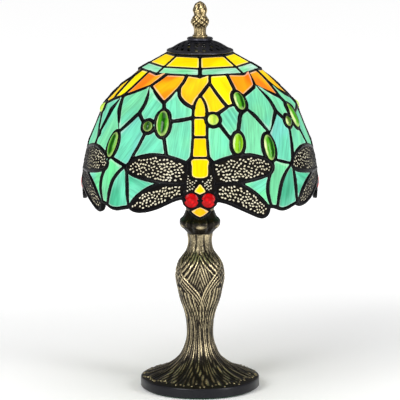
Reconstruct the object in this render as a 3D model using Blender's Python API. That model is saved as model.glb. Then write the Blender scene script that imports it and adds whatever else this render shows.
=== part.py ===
"""Stained glass table lamp with a dragonfly shade on a cast tree-trunk base.

Units are metres and +Z is up. The origin is the centre of the foot's underside, and the front
of the lamp faces -Y. The shade is laid out on its own skin: a place on it is an angle around
the lamp in degrees (0 at the front, growing towards +X) and a distance in millimetres down the
skin from the cap. One dragonfly repeats four times around the shade.
"""
import math

import bmesh
import bpy
from mathutils import Vector
from mathutils.geometry import delaunay_2d_cdt

MM = 0.001

# ---- driving dimensions, millimetres ----
FOOT_R = 51.0                 # foot radius
FELT_T = 1.2                  # felt pad thickness
PIPE_R = 4.8                  # lamp pipe, outside radius
PIPE_BORE_R = 3.6
PIPE_Z = (4.5, 176.2)
BORE_R = 5.2                  # hole for the pipe through everything stacked on it
CAVITY_R = 44.5               # hollow under the foot
WEB_Z = 12.0                  # underside of the web that the lower nut clamps
SLEEVE_R = 12.1
SLEEVE_Z = (154.0, 168.0)
SADDLE_Z = (168.3, 169.9)
SADDLE_HALF = 25.0            # harp legs stand this far from the axis
HARP_WIRE_R = 1.6
STUD_R = 3.0                  # finial thread
SHOULDER_Z = (293.4, 296.2)
SEAT_Z = (296.5, 298.0)       # washer between the harp's shoulder and the cap
CAP_T = 1.2                   # cap sheet
COLLAR_Z = (300.2, 302.6)
FINIAL_TIP_Z = 333.3
SOCKET_R = 11.0
SOCKET_Z = (176.4, 206.0)
SCREW_R = 6.0                 # candelabra (E12) bulb thread
BULB_Z = 188.0                # underside of the bulb's screw shell
BULB_R = 9.0                  # clear cover
BULB_TOP_Z = 262.0
GLASS_T = 3.0                 # glass thickness
REPEATS = 4                   # dragonflies around the shade
OCTAGON_END = 28.0            # the two top rings are flat-sided down to here
ROUND_FROM = 58.0             # and the skin is round below here
GROMMET_Z = 5.9               # cord outlet, centre height in the foot's rear edge
GROMMET_R = (3.1, 3.6, 4.3)   # bore, neck and flange radii
GROMMET_FLANGE_T = 1.2
FOOT_EDGE_Z = 8.8             # top of the foot's upright edge
NUT_FLATS = 15.0              # lock nuts, across the flats
UPPER_NUT_Z = (170.2, 173.4)
LOWER_NUT_Z = (6.0, 9.9)
LOWER_WASHER_R = 12.0
LOWER_WASHER_Z = (10.2, 11.7)
SADDLE_WIDTH = 13.0
LEG_R = 3.0                   # the harp saddle's two posts
LEG_TOP_Z = 181.5
LEG_LENGTH = 12.0
SHOULDER_R = 6.5
STUD_TOP_Z = 309.5
SEAT_R = 9.0
COLLAR_R = 11.0
HOLE_R = 3.6                  # clearance holes over the finial thread
FINIAL_BORE_R = 3.35
FINIAL_BORE_TOP_Z = 310.8
SOCKET_CUP_TOP_Z = 188.0
SCREW_SHELL_R = (6.9, 6.4)    # rolled thread of the socket, outside and inside
CONTACT_R = 2.4
VENT_R = 1.3                  # slots in the cap
VENT_STRETCH = 1.5
VENT_SLANT = 0.5              # radians
VENT_ROWS = [(22.3, 294.6, 12), (16.0, 297.8, 8)]   # ring radius, height, number of slots
LOBES = 6                     # lobes round the cup
LOBE_DEPTH = 0.8
LOBED_FROM_R = 14.0

# Sections of the turned parts: (radius, height).
TRUNK_FLANK = [(11.0, 135.0), (9.9, 128.0), (11.9, 119.5), (18.9, 109.0), (20.9, 97.0),
               (18.0, 81.0), (12.6, 65.0), (10.8, 50.0), (12.2, 38.7), (18.2, 26.3),
               (30.0, 17.0), (46.0, 11.0)]
CUP_BELLY = [(11.2, 135.3), (14.4, 138.6), (16.6, 140.4), (17.9, 143.0), (17.7, 146.0),
             (14.8, 149.0), (12.6, 153.7)]
CAP_DOME = [(28.2, 291.4), (24.9, 292.9), (19.6, 296.3), (11.3, 299.9)]
CAP_RIM_INNER_R = 27.4
FINIAL_OUTLINE = [(6.1, 302.9), (5.4, 305.3), (5.4, 310.4), (7.7, 315.5), (6.5, 319.0),
                  (5.0, 322.0), (5.9, 325.7), (4.0, 330.8)]
HARP_SHAPE = [(29.5, 215.0), (29.5, 240.0), (22.0, 268.0), (11.0, 286.5), (4.0, 291.5)]

# Outer skin of the shade, radius and height, from the cap's rim to below the glass.
SKIN = [(27.6, 291.0), (44.7, 281.5), (53.3, 276.5), (62.3, 268.5), (72.7, 258.2), (82.2, 247.5),
        (89.3, 229.4), (95.3, 215.5), (98.6, 204.0), (100.7, 192.0), (101.4, 181.0),
        (100.8, 170.0), (99.6, 155.0)]

# Places on the skin: (degrees, millimetres down the skin).
PETAL_TOP = [(-35, 28.5), (-13, 28.5), (0, 28.5), (9, 28.5), (28, 28.5), (45, 28.5), (55, 28.5)]
PETAL_POINTS_RIGHT = [(48, 42), (31.7, 51.5), (27.7, 43.5), (24.5, 52), (22.2, 60), (17.5, 61.5)]
PETAL_POINTS_LEFT = [(-16.5, 41.5), (-24, 58), (-42, 42)]
TAIL_TIP = (0, 49)
TAIL_RIGHT = [(4.2, 66.5), (3.9, 80), (4.4, 107)]
TAIL_LEFT = [(-4, 61.5), (-3.9, 80), (-4.4, 107)]
SHOULDER = (6.6, 110.5)       # where a wing's top edge meets the body
WING_ROOT = (7, 128)          # where an upper and a lower wing meet the body
GAP_TIP = (17.8, 127.6)       # where the two wings part
UPPER_WING_TOP = [(17, 105), (22, 104.3), (27, 105), (34.5, 109), (38.5, 115.5)]
UPPER_WING_END = [(37, 120), (31, 123.8)]
LOWER_TOP_RIGHT = [(21, 131), (27, 138), (31, 143.5), (34.5, 149.5)]
LOWER_END_RIGHT = [(35.3, 153.5), (34, 157.3), (31.8, 158.6), (29, 157.5), (26, 155.3),
                   (22, 152), (18, 148.5), (14, 145), (11, 143)]
LOWER_TOP_LEFT = [(-23, 131), (-29, 137), (-33.5, 144), (-36, 150)]
LOWER_END_LEFT = [(-35, 152.3), (-32.5, 153.4), (-29.5, 153.4), (-25.5, 152), (-21.5, 149.8),
                  (-17.5, 146.5), (-14, 143.3), (-11, 140.8)]
NECK_RIGHT = [(7.8, 135), (8.5, 142.3)]
NECK_LEFT = [(-7.8, 135), (-8.5, 140)]
HEAD_RIGHT = [(7, 147), (5, 150.8), (2.5, 154), (0, 155.6)]
HEAD_LEFT = [(-2.5, 154), (-5, 151), (-6.5, 147)]
SCALLOP = [(36.2, 150.2), (39.8, 151.5), (43, 153.8), (46.5, 153.8), (50, 152.3)]


# ---- helpers ----

def clear_scene():
    for obj in list(bpy.data.objects):
        bpy.data.objects.remove(obj, do_unlink=True)


def finish_material(name, color, metallic, roughness, alpha=1.0):
    mat = bpy.data.materials.new(name)
    mat.use_nodes = True
    shader = mat.node_tree.nodes["Principled BSDF"]
    shader.inputs["Base Color"].default_value = (*color, 1.0)
    shader.inputs["Metallic"].default_value = metallic
    shader.inputs["Roughness"].default_value = roughness
    shader.inputs["Alpha"].default_value = alpha
    return mat


def add_object(name, bm, mat, smooth_angle=35):
    """Closes a bmesh into a named object with outward faces."""
    bmesh.ops.recalc_face_normals(bm, faces=bm.faces)
    mesh = bpy.data.meshes.new(name)
    bm.to_mesh(mesh)
    bm.free()
    mesh.shade_smooth()
    mesh.set_sharp_from_angle(angle=math.radians(smooth_angle))
    mesh.materials.append(mat)
    obj = bpy.data.objects.new(name, mesh)
    bpy.context.scene.collection.objects.link(obj)
    return obj


def spline(points, steps):
    """A smooth open curve through the points, with that many steps between two of them."""
    ends = [points[0]] + list(points) + [points[-1]]
    curve = []
    for i in range(1, len(ends) - 2):
        p0, p1, p2, p3 = (Vector(p) for p in ends[i - 1:i + 3])
        for k in range(steps):
            t = k / steps
            curve.append(0.5 * (2 * p1 + (p2 - p0) * t + (2 * p0 - 5 * p1 + 4 * p2 - p3) * t ** 2
                                + (3 * p1 - p0 - 3 * p2 + p3) * t ** 3))
    curve.append(Vector(points[-1]))
    return [tuple(p) for p in curve]


def around(radius, angle, z):
    return Vector((radius * math.sin(angle), -radius * math.cos(angle), z))


def turned(name, profile, mat, sides=24, lobes=None):
    """Turns a profile of (radius, height) in mm about the lamp's axis.

    The profile is a closed section: one that touches the axis makes a solid, any other a ring.
    lobes(radius, height, angle) may change the radius around the turn."""
    bm = bmesh.new()
    rings = []
    for radius, height in profile:
        if radius == 0:
            rings.append([bm.verts.new((0, 0, height * MM))])
            continue
        ring = []
        for k in range(sides):
            angle = 2 * math.pi * k / sides
            r = lobes(radius, height, angle) if lobes else radius
            ring.append(bm.verts.new(around(r * MM, angle, height * MM)))
        rings.append(ring)
    for a, b in zip(rings, rings[1:] + rings[:1]):
        if len(a) == 1 and len(b) == 1:
            continue
        for k in range(sides):
            n = (k + 1) % sides
            corners = [a[k % len(a)], a[n % len(a)], b[n % len(b)], b[k % len(b)]]
            bm.faces.new(list(dict.fromkeys(corners)))
    return add_object(name, bm, mat)


def tube(name, outer_r, bore_r, z0, z1, mat, sides=24):
    return turned(name, [(bore_r, z0), (outer_r, z0), (outer_r, z1), (bore_r, z1)], mat, sides)


def disc(name, radius, z0, z1, mat, sides=24):
    return turned(name, [(0, z0), (radius, z0), (radius, z1), (0, z1)], mat, sides)


def subtract(target, cutter):
    """Cuts one object out of another; the cutter stays in the file as a guide."""
    cutter.hide_render = True
    cutter.display_type = 'WIRE'
    cut = target.modifiers.new("cut_" + cutter.name, 'BOOLEAN')
    cut.operation = 'DIFFERENCE'
    cut.object = cutter


def unite(name, objects):
    """Joins touching objects into one closed body under the first one's name."""
    base = objects[0]
    base.name = name
    for other in objects[1:]:
        join = base.modifiers.new("join_" + other.name, 'BOOLEAN')
        join.operation = 'UNION'
        join.object = other
        other.hide_render = True
        other.display_type = 'WIRE'
    return base


# ---- the shade's skin ----

def skin_lengths():
    lengths = [0.0]
    for (r0, z0), (r1, z1) in zip(SKIN, SKIN[1:]):
        lengths.append(lengths[-1] + math.hypot(r1 - r0, z1 - z0))
    return lengths


SKIN_LENGTHS = skin_lengths()


def facet_normal(i):
    (r0, z0), (r1, z1) = SKIN[i], SKIN[i + 1]
    return Vector((z0 - z1, r1 - r0)).normalized()


def skin_point(angle_deg, down, depth=0.0):
    """World position of a place on the shade's skin, sunk inwards by depth, all mm."""
    i = 0
    while i < len(SKIN) - 2 and SKIN_LENGTHS[i + 1] < down:
        i += 1
    span = SKIN_LENGTHS[i + 1] - SKIN_LENGTHS[i]
    t = (down - SKIN_LENGTHS[i]) / span
    radius = SKIN[i][0] + (SKIN[i + 1][0] - SKIN[i][0]) * t
    height = SKIN[i][1] + (SKIN[i + 1][1] - SKIN[i][1]) * t
    before = facet_normal(max(i - 1, 0))
    after = facet_normal(min(i + 1, len(SKIN) - 2))
    here = facet_normal(i)
    start = (before + here).normalized()
    end = (here + after).normalized()
    normal = start.lerp(end, min(max(t, 0.0), 1.0)).normalized()
    radius -= depth * normal.x
    height -= depth * normal.y
    flat = min(max((ROUND_FROM - down) / (ROUND_FROM - OCTAGON_END), 0.0), 1.0)
    off_corner = math.radians(angle_deg % 45 - 22.5)
    octagon = math.cos(math.radians(22.5)) / math.cos(off_corner)
    radius *= 1 - flat * (1 - octagon)
    return around(radius * MM, math.radians(angle_deg), height * MM)


def radius_at(down):
    point = skin_point(0, down)
    return math.hypot(point.x, point.y) / MM


def turn(points, degrees):
    return [(angle + degrees, down) for angle, down in points]


def mirrored(points):
    return [(-angle, down) for angle, down in reversed(points)]


def step_aside(path, i, amount):
    """Moves one place of a closed path to the left of the way the path runs, by amount mm."""
    angle, down = path[i]
    scale = math.radians(radius_at(down))
    before, after = path[i - 1], path[(i + 1) % len(path)]
    along_in = Vector((wrap(angle - before[0]) * scale, down - before[1])).normalized()
    along_out = Vector((wrap(after[0] - angle) * scale, after[1] - down)).normalized()
    left_in = Vector((-along_in.y, along_in.x))
    bisector = (left_in + Vector((-along_out.y, along_out.x))).normalized()
    moved = bisector * amount / max(bisector.dot(left_in), 0.35)
    return (angle + moved.x / scale, down + moved.y)


def wrap(angle):
    return (angle + 180) % 360 - 180


def shrink(outline, amount):
    """Moves an outline of places on the skin inwards by an amount in mm."""
    area = sum(p[0] * q[1] - q[0] * p[1] for p, q in zip(outline, outline[1:] + outline[:1]))
    inward = math.copysign(amount, area)
    return [step_aside(outline, i, inward) for i in range(len(outline))]


def split_long_sides(outline, most_degrees=9.0):
    result = []
    for (a0, d0), (a1, d1) in zip(outline, outline[1:] + outline[:1]):
        steps = max(1, math.ceil(abs(a1 - a0) / most_degrees))
        result += [(a0 + (a1 - a0) * k / steps, d0 + (d1 - d0) * k / steps) for k in range(steps)]
    return result


def inside(outline, place, margin):
    """True if a place is inside the outline and at least margin mm from its sides."""
    scale = radius_at(place[1]) * math.pi / 180
    p = Vector((place[0] * scale, place[1]))
    crossings = 0
    for (a0, d0), (a1, d1) in zip(outline, outline[1:] + outline[:1]):
        a = Vector((a0 * scale, d0))
        b = Vector((a1 * scale, d1))
        if (a.y > p.y) != (b.y > p.y) and p.x < a.x + (b.x - a.x) * (p.y - a.y) / (b.y - a.y):
            crossings += 1
        t = min(max((p - a).dot(b - a) / max((b - a).length_squared, 1e-9), 0.0), 1.0)
        if (p - a - (b - a) * t).length < margin:
            return False
    return crossings % 2 == 1


def glass_panel(name, outline, mat):
    """A curved piece of the shade with the given outline, one glass thickness deep."""
    border = split_long_sides(shrink(outline, 0.3))
    low, high = min(a for a, _ in border), max(a for a, _ in border)
    middle = []
    step = 11.25
    for k in range(math.ceil(low / step), math.floor(high / step) + 1):
        middle += [(k * step, d) for d in SKIN_LENGTHS if inside(border, (k * step, d), 3.0)]
    places = border + middle
    flat = [Vector((math.radians(a) * 85.0, d)) for a, d in places]
    loop = list(range(len(border)))
    corners, _, triangles, *_ = delaunay_2d_cdt(flat, [], [loop], 1, 1e-6)
    bm = bmesh.new()
    skins = []
    for depth in (0.0, GLASS_T):
        skins.append([bm.verts.new(skin_point(math.degrees(c.x / 85.0), c.y, depth))
                      for c in corners])
    sides = {}
    for tri in triangles:
        bm.faces.new([skins[0][i] for i in tri])
        bm.faces.new([skins[1][i] for i in reversed(tri)])
        for a, b in zip(tri, list(tri[1:]) + [tri[0]]):
            if (b, a) in sides:
                del sides[(b, a)]
            else:
                sides[(a, b)] = True
    for a, b in sides:
        bm.faces.new([skins[0][b], skins[0][a], skins[1][a], skins[1][b]])
    return add_object(name, bm, mat)


def glass_ring(name, downs, mat, depths=(0.0, GLASS_T)):
    """A flat-sided ring of the shade from the first to the last distance down the skin."""
    bm = bmesh.new()
    section = [(d, depths[0]) for d in downs] + [(d, depths[1]) for d in reversed(downs)]
    corners = 8
    rings = [[bm.verts.new(skin_point(45 * k, d, depth)) for k in range(corners)]
             for d, depth in section]
    for a, b in zip(rings, rings[1:] + rings[:1]):
        for k in range(corners):
            n = (k + 1) % corners
            bm.faces.new([a[k], a[n], b[n], b[k]])
    return add_object(name, bm, mat)


def build_shade(mats):
    glass_ring("crown_glass_ring", [1.6, 17.0], mats["yellow"])
    glass_ring("upper_solder_ring", [17.3, 18.9], mats["solder"])
    glass_ring("band_glass_ring", [19.2, 26.9], mats["mint"])
    glass_ring("lower_solder_ring", [27.2, 28.1], mats["solder"])
    shoulder = [SHOULDER]
    petals = (PETAL_TOP + PETAL_POINTS_RIGHT + TAIL_RIGHT[:1] + [TAIL_TIP] + TAIL_LEFT[:1]
              + PETAL_POINTS_LEFT)
    body = ([TAIL_TIP] + TAIL_RIGHT + shoulder + [WING_ROOT] + NECK_RIGHT + HEAD_RIGHT
            + HEAD_LEFT + NECK_LEFT[::-1] + mirrored([WING_ROOT]) + mirrored(shoulder)
            + TAIL_LEFT[::-1])
    upper_right = shoulder + UPPER_WING_TOP + UPPER_WING_END + [GAP_TIP, WING_ROOT]
    upper_left = mirrored(upper_right)
    lower_right = [WING_ROOT, GAP_TIP] + LOWER_TOP_RIGHT + LOWER_END_RIGHT + NECK_RIGHT[::-1]
    lower_left = (mirrored([WING_ROOT]) + mirrored([GAP_TIP]) + LOWER_TOP_LEFT + LOWER_END_LEFT
                  + NECK_LEFT[::-1])
    period = 360 / REPEATS
    next_left = turn(PETAL_POINTS_LEFT[::-1], period)[1:] + turn(TAIL_LEFT, period)
    next_wing = turn(mirrored(UPPER_WING_TOP + UPPER_WING_END)[::-1], period)
    next_lower = turn(mirrored([GAP_TIP]) + LOWER_TOP_LEFT, period)
    field = (TAIL_RIGHT[:1] + PETAL_POINTS_RIGHT[::-1] + next_left
             + turn(mirrored(shoulder), period) + next_wing + next_lower + SCALLOP[::-1]
             + LOWER_TOP_RIGHT[::-1] + [GAP_TIP] + UPPER_WING_END[::-1] + UPPER_WING_TOP[::-1]
             + shoulder + TAIL_RIGHT[:0:-1])
    shapes = [("petal_panel", petals, "gold"), ("dragonfly_body", body, "red"),
              ("upper_wing_right", upper_right, "wing"), ("upper_wing_left", upper_left, "wing"),
              ("lower_wing_right", lower_right, "wing"), ("lower_wing_left", lower_left, "wing"),
              ("field_panel", field, "mint")]
    for n in range(REPEATS):
        for name, outline, tint in shapes:
            glass_panel(f"{name}_{n + 1}", turn(outline, period * n), mats[tint])
    build_rim_bead(mats["solder"])


def build_rim_bead(mat):
    """The solder bead that binds the lower edge of the glass all the way round."""
    bead_r = 1.5
    one = (SCALLOP + turn([LOWER_TOP_LEFT[-1]] + LOWER_END_LEFT + NECK_LEFT[1:], 90)
           + turn(HEAD_LEFT[::-1] + HEAD_RIGHT[::-1] + NECK_RIGHT[1:], 90)
           + turn(LOWER_END_RIGHT[::-1] + LOWER_TOP_RIGHT[-1:], 90))
    path = [place for n in range(REPEATS) for place in turn(one, 90 * n)]
    path = [p for p, q in zip(path, path[1:] + path[:1]) if p != q]
    outer = [step_aside(path, i, bead_r + 0.5) for i in range(len(path))]
    curve = bpy.data.curves.new("rim_solder_bead", 'CURVE')
    curve.dimensions = '3D'
    curve.bevel_depth = bead_r * MM
    curve.bevel_resolution = 0
    line = curve.splines.new('POLY')
    line.points.add(len(outer) - 1)
    for point, (angle, down) in zip(line.points, outer):
        point.co = (*skin_point(angle, down, GLASS_T / 2), 1.0)
    line.use_cyclic_u = True
    curve.materials.append(mat)
    obj = bpy.data.objects.new("rim_solder_bead", curve)
    bpy.context.scene.collection.objects.link(obj)


# ---- cap, finial and what holds the shade ----

def build_cap(mats):
    """The vented cap: a thin domed sheet with a turned rim and two rows of slots."""
    dome = spline(CAP_DOME, 3)
    rim_z, top_z = CAP_DOME[0][1], CAP_DOME[-1][1]
    under = [(r - 0.35, z - CAP_T) for r, z in dome[1:]]
    profile = ([(HOLE_R, top_z)] + dome[::-1] + [(CAP_RIM_INNER_R, rim_z)] + under
               + [(HOLE_R, top_z - CAP_T)])
    cap = turned("vented_cap", profile, mats["gunmetal"], sides=24)
    for row, (radius, height, count) in enumerate(VENT_ROWS):
        for k in range(count):
            angle = 2 * math.pi * (k + 0.5 * row) / count
            bpy.ops.mesh.primitive_cylinder_add(vertices=6, radius=VENT_R * MM, depth=8 * MM,
                                                location=around(radius * MM, angle, height * MM))
            slot = bpy.context.object
            slot.name = f"vent_cutter_{row}_{k}"
            slot.scale = (1.0, VENT_STRETCH, 1.0)
            slot.rotation_euler = (0, 0, angle + VENT_SLANT)
            subtract(cap, slot)
    tube("cap_collar", COLLAR_R, HOLE_R, *COLLAR_Z, mats["brass"])


def build_finial(mats):
    profile = ([(0, FINIAL_BORE_TOP_Z), (FINIAL_BORE_R, FINIAL_BORE_TOP_Z),
                (FINIAL_BORE_R, FINIAL_OUTLINE[0][1])] + spline(FINIAL_OUTLINE, 2)
               + [(0, FINIAL_TIP_Z)])
    turned("finial", profile, mats["brass"], sides=20)


def build_harp(mats):
    """Harp saddle, bent wire harp, and the threaded stud at its top."""
    z0, z1 = SADDLE_Z
    bm = bmesh.new()
    bmesh.ops.create_cube(bm, size=1.0)
    for v in bm.verts:
        v.co = MM * Vector((v.co.x * 2 * (SADDLE_HALF + LEG_R), v.co.y * SADDLE_WIDTH,
                            z0 + (v.co.z + 0.5) * (z1 - z0)))
    strap = add_object("saddle_strap", bm, mats["steel"])
    legs = []
    for side in (-1, 1):
        middle = Vector((side * SADDLE_HALF, 0, LEG_TOP_Z - LEG_LENGTH / 2)) * MM
        bpy.ops.mesh.primitive_cylinder_add(vertices=12, radius=LEG_R * MM,
                                            depth=LEG_LENGTH * MM, location=middle)
        legs.append(bpy.context.object)
        legs[-1].name = f"saddle_leg_{side}"
    bpy.ops.mesh.primitive_cylinder_add(vertices=16, radius=BORE_R * MM, depth=10 * MM,
                                        location=(0, 0, z0 * MM))
    hole = bpy.context.object
    hole.name = "saddle_hole"
    saddle = unite("harp_saddle", [strap] + legs)
    subtract(saddle, hole)
    foot_z = LEG_TOP_Z + 0.3
    right = spline([(SADDLE_HALF, foot_z), (SADDLE_HALF, foot_z + 9)] + HARP_SHAPE, 4)
    path = [(-x, z) for x, z in right] + [(x, z) for x, z in reversed(right)]
    curve = bpy.data.curves.new("harp_wire", 'CURVE')
    curve.dimensions = '3D'
    curve.bevel_depth = HARP_WIRE_R * MM
    curve.bevel_resolution = 1
    curve.use_fill_caps = True
    line = curve.splines.new('POLY')
    line.points.add(len(path) - 1)
    for point, (x, z) in zip(line.points, path):
        point.co = (x * MM, 0, z * MM, 1.0)
    curve.materials.append(mats["steel"])
    bpy.context.scene.collection.objects.link(bpy.data.objects.new("harp_wire", curve))
    low, high = SHOULDER_Z
    turned("shade_stud", [(0, low), (SHOULDER_R, low), (SHOULDER_R, high), (STUD_R, high),
                          (STUD_R, STUD_TOP_Z), (0, STUD_TOP_Z)], mats["steel"], sides=16)
    tube("seat_washer", SEAT_R, STUD_R + 0.5, *SEAT_Z, mats["steel"], sides=20)


# ---- socket and bulb ----

def hex_nut(name, across_flats, z0, z1, mat):
    """A hexagon nut round the lamp pipe."""
    def flats(radius, height, angle):
        if radius <= BORE_R:
            return radius
        return radius / math.cos((angle + math.pi / 6) % (math.pi / 3) - math.pi / 6)
    half = across_flats / 2
    return turned(name, [(BORE_R, z0), (half, z0), (half, z1), (BORE_R, z1)], mat, 24, flats)


def build_socket(mats):
    z0, z1 = SOCKET_Z
    turned("socket_housing", [(2.6, z0 + 0.4), (9.0, z0 + 0.4), (SOCKET_R, z0 + 3),
                              (SOCKET_R, z1), (7.2, z1), (7.2, z0 + 6), (2.6, z0 + 6)],
           mats["phenolic"], sides=24)
    tube("socket_screw_shell", *SCREW_SHELL_R, z0 + 10, z1 - 1.5, mats["brass"], sides=20)
    disc("socket_contact", CONTACT_R, z0 + 6.3, z0 + 7.4, mats["brass"], sides=12)
    rim = SOCKET_CUP_TOP_Z
    turned("socket_cup", [(BORE_R, 173.9), (9.0, 173.9), (13.4, 176.5), (13.4, rim), (11.5, rim),
                          (11.5, 178.0), (9.3, 176.3), (BORE_R, 176.3)], mats["brass"], sides=24)


def build_bulb(mats):
    """A candelabra-base lamp with rows of yellow emitters under a clear cover."""
    shell_top = SOCKET_Z[1] + 0.2
    disc("bulb_tip_contact", 2.2, BULB_Z - 3.6, BULB_Z - 2.2, mats["steel"], sides=12)
    turned("bulb_insulator", [(0, BULB_Z - 1.9), (2.6, BULB_Z - 1.9), (5.2, BULB_Z + 0.7),
                              (5.2, BULB_Z + 2.2), (0, BULB_Z + 2.2)], mats["phenolic"], sides=16)
    turned("bulb_screw_shell", [(0, BULB_Z + 2.5), (SCREW_R, BULB_Z + 2.5), (SCREW_R, shell_top),
                                (0, shell_top)], mats["chrome"], sides=20)
    top = BULB_TOP_Z
    turned("bulb_collar", [(0, shell_top + 0.3), (6.6, shell_top + 0.3), (BULB_R, shell_top + 4),
                           (BULB_R, shell_top + 9), (0, shell_top + 9)], mats["white"], sides=20)
    turned("bulb_led_carrier", [(0, shell_top + 9.3), (5.8, shell_top + 9.3), (5.8, top - 7),
                                (0, top - 7)], mats["amber"], sides=12)
    turned("bulb_cover", [(BULB_R - 1, shell_top + 9.3), (BULB_R, shell_top + 9.3),
                          (BULB_R, top - 5), (6.0, top - 1.0), (2.5, top), (0, top), (0, top - 1.2),
                          (2.2, top - 1.2), (5.4, top - 2.1), (BULB_R - 1, top - 5.5)],
           mats["clear"], sides=20)


# ---- base ----

def build_base(mats):
    disc("felt_pad", FOOT_R - 2.5, 0, FELT_T, mats["felt"], sides=32)
    bottom = FELT_T + 0.3
    profile = ([(BORE_R, TRUNK_FLANK[0][1])] + spline(TRUNK_FLANK, 2)
               + [(FOOT_R - 0.7, FOOT_EDGE_Z + 0.7), (FOOT_R, FOOT_EDGE_Z), (FOOT_R, bottom),
                  (CAVITY_R, bottom), (CAVITY_R - 0.5, 7.5), (16.0, WEB_Z), (BORE_R, WEB_Z)])
    trunk = turned("trunk_casting", profile, mats["bronze"], sides=32)
    bpy.ops.mesh.primitive_cylinder_add(vertices=16, radius=(GROMMET_R[1] + 0.3) * MM,
                                        depth=16 * MM, location=(0, 48 * MM, GROMMET_Z * MM),
                                        rotation=(math.pi / 2, 0, 0))
    bpy.context.object.name = "outlet_cutter"
    subtract(trunk, bpy.context.object)
    build_grommet(mats["rubber"])
    tube("lower_washer", LOWER_WASHER_R, BORE_R, *LOWER_WASHER_Z, mats["steel"])
    hex_nut("lower_lock_nut", NUT_FLATS, *LOWER_NUT_Z, mats["steel"])
    tube("lamp_pipe", PIPE_R, PIPE_BORE_R, *PIPE_Z, mats["steel"], sides=20)
    hex_nut("upper_lock_nut", NUT_FLATS, *UPPER_NUT_Z, mats["steel"])
    cup = [(BORE_R, CUP_BELLY[0][1])] + CUP_BELLY + [(BORE_R, CUP_BELLY[-1][1])]
    turned("lobed_cup", cup, mats["bronze"], sides=36, lobes=lobed)
    tube("neck_sleeve", SLEEVE_R, BORE_R, *SLEEVE_Z, mats["bronze"])


def lobed(radius, height, angle):
    """Shallow lobes round the widest part of the cup."""
    if radius < LOBED_FROM_R:
        return radius
    return radius - LOBE_DEPTH * (1 - math.cos(LOBES * angle)) / 2


def build_grommet(mat):
    """The bushing in the foot's rear edge that a cord would leave through."""
    bore, neck, flange = (r * MM for r in GROMMET_R)
    wall = (FOOT_R - 5.5) * MM
    face = (FOOT_R + 0.4) * MM
    lip = GROMMET_FLANGE_T * MM
    section = [(bore, wall), (neck, wall), (neck, face), (flange, face), (flange, face + lip),
               (bore, face + lip)]
    bm = bmesh.new()
    sides = 16
    rings = [[bm.verts.new((r * math.cos(2 * math.pi * k / sides), y,
                            GROMMET_Z * MM + r * math.sin(2 * math.pi * k / sides)))
              for k in range(sides)] for r, y in section]
    for a, b in zip(rings, rings[1:] + rings[:1]):
        for k in range(sides):
            n = (k + 1) % sides
            bm.faces.new([a[k], a[n], b[n], b[k]])
    add_object("cord_grommet", bm, mat)


def main():
    clear_scene()
    mats = {
        "bronze": finish_material("antique_bronze", (0.16, 0.14, 0.10), 0.8, 0.45),
        "brass": finish_material("antique_brass", (0.42, 0.34, 0.18), 0.9, 0.35),
        "steel": finish_material("plated_steel", (0.55, 0.53, 0.48), 0.9, 0.35),
        "chrome": finish_material("chrome", (0.80, 0.80, 0.82), 1.0, 0.12),
        "gunmetal": finish_material("gunmetal", (0.13, 0.13, 0.15), 0.7, 0.40),
        "solder": finish_material("patinated_solder", (0.02, 0.02, 0.02), 0.5, 0.30),
        "yellow": finish_material("yellow_glass", (0.98, 0.82, 0.05), 0.0, 0.12),
        "gold": finish_material("gold_glass", (0.98, 0.52, 0.05), 0.0, 0.12),
        "mint": finish_material("mint_glass", (0.25, 0.78, 0.58), 0.0, 0.12),
        "red": finish_material("red_glass", (0.85, 0.30, 0.03), 0.0, 0.12),
        "wing": finish_material("cream_glass_filigree", (0.45, 0.42, 0.33), 0.1, 0.30),
        "phenolic": finish_material("black_phenolic", (0.02, 0.02, 0.02), 0.0, 0.40),
        "white": finish_material("white_plastic", (0.85, 0.85, 0.80), 0.0, 0.35),
        "amber": finish_material("amber_emitters", (0.95, 0.75, 0.15), 0.0, 0.40),
        "clear": finish_material("clear_cover", (0.95, 0.97, 0.98), 0.0, 0.05, 0.3),
        "felt": finish_material("green_felt", (0.03, 0.10, 0.05), 0.0, 0.95),
        "rubber": finish_material("black_rubber", (0.02, 0.02, 0.02), 0.0, 0.70),
    }
    build_base(mats)
    build_harp(mats)
    build_socket(mats)
    build_bulb(mats)
    build_shade(mats)
    build_cap(mats)
    build_finial(mats)


main()
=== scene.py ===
"""Looks of a leaded dragonfly table lamp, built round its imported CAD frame.

Lengths on the lamp are given in millimetres and turned into metres where a mesh is made. The
shade is laid out on its own skin: a place on it is (degrees round the lamp from the front,
millimetres down the skin from the cap), and depth is how far it is sunk under the skin.
"""

import math
import random

import bmesh
import bpy
import numpy as np
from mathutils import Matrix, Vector
from mathutils.geometry import delaunay_2d_cdt


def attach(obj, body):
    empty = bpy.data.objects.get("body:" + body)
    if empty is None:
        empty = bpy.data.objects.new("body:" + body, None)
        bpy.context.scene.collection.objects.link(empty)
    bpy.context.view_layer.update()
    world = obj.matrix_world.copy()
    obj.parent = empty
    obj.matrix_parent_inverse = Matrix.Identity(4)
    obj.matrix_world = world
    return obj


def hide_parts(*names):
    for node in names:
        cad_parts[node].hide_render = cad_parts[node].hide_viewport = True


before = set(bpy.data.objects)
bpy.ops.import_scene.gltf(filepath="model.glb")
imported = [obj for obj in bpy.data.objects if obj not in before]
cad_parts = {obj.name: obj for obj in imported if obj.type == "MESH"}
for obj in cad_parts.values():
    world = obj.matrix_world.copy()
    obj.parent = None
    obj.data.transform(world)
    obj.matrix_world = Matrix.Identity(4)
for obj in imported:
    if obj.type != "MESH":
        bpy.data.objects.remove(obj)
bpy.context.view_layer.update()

MM = 0.001
QUARTERS = 4                  # one dragonfly in each quarter of the shade
QUARTER = 360 / QUARTERS

# ---- camera and light ----

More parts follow.
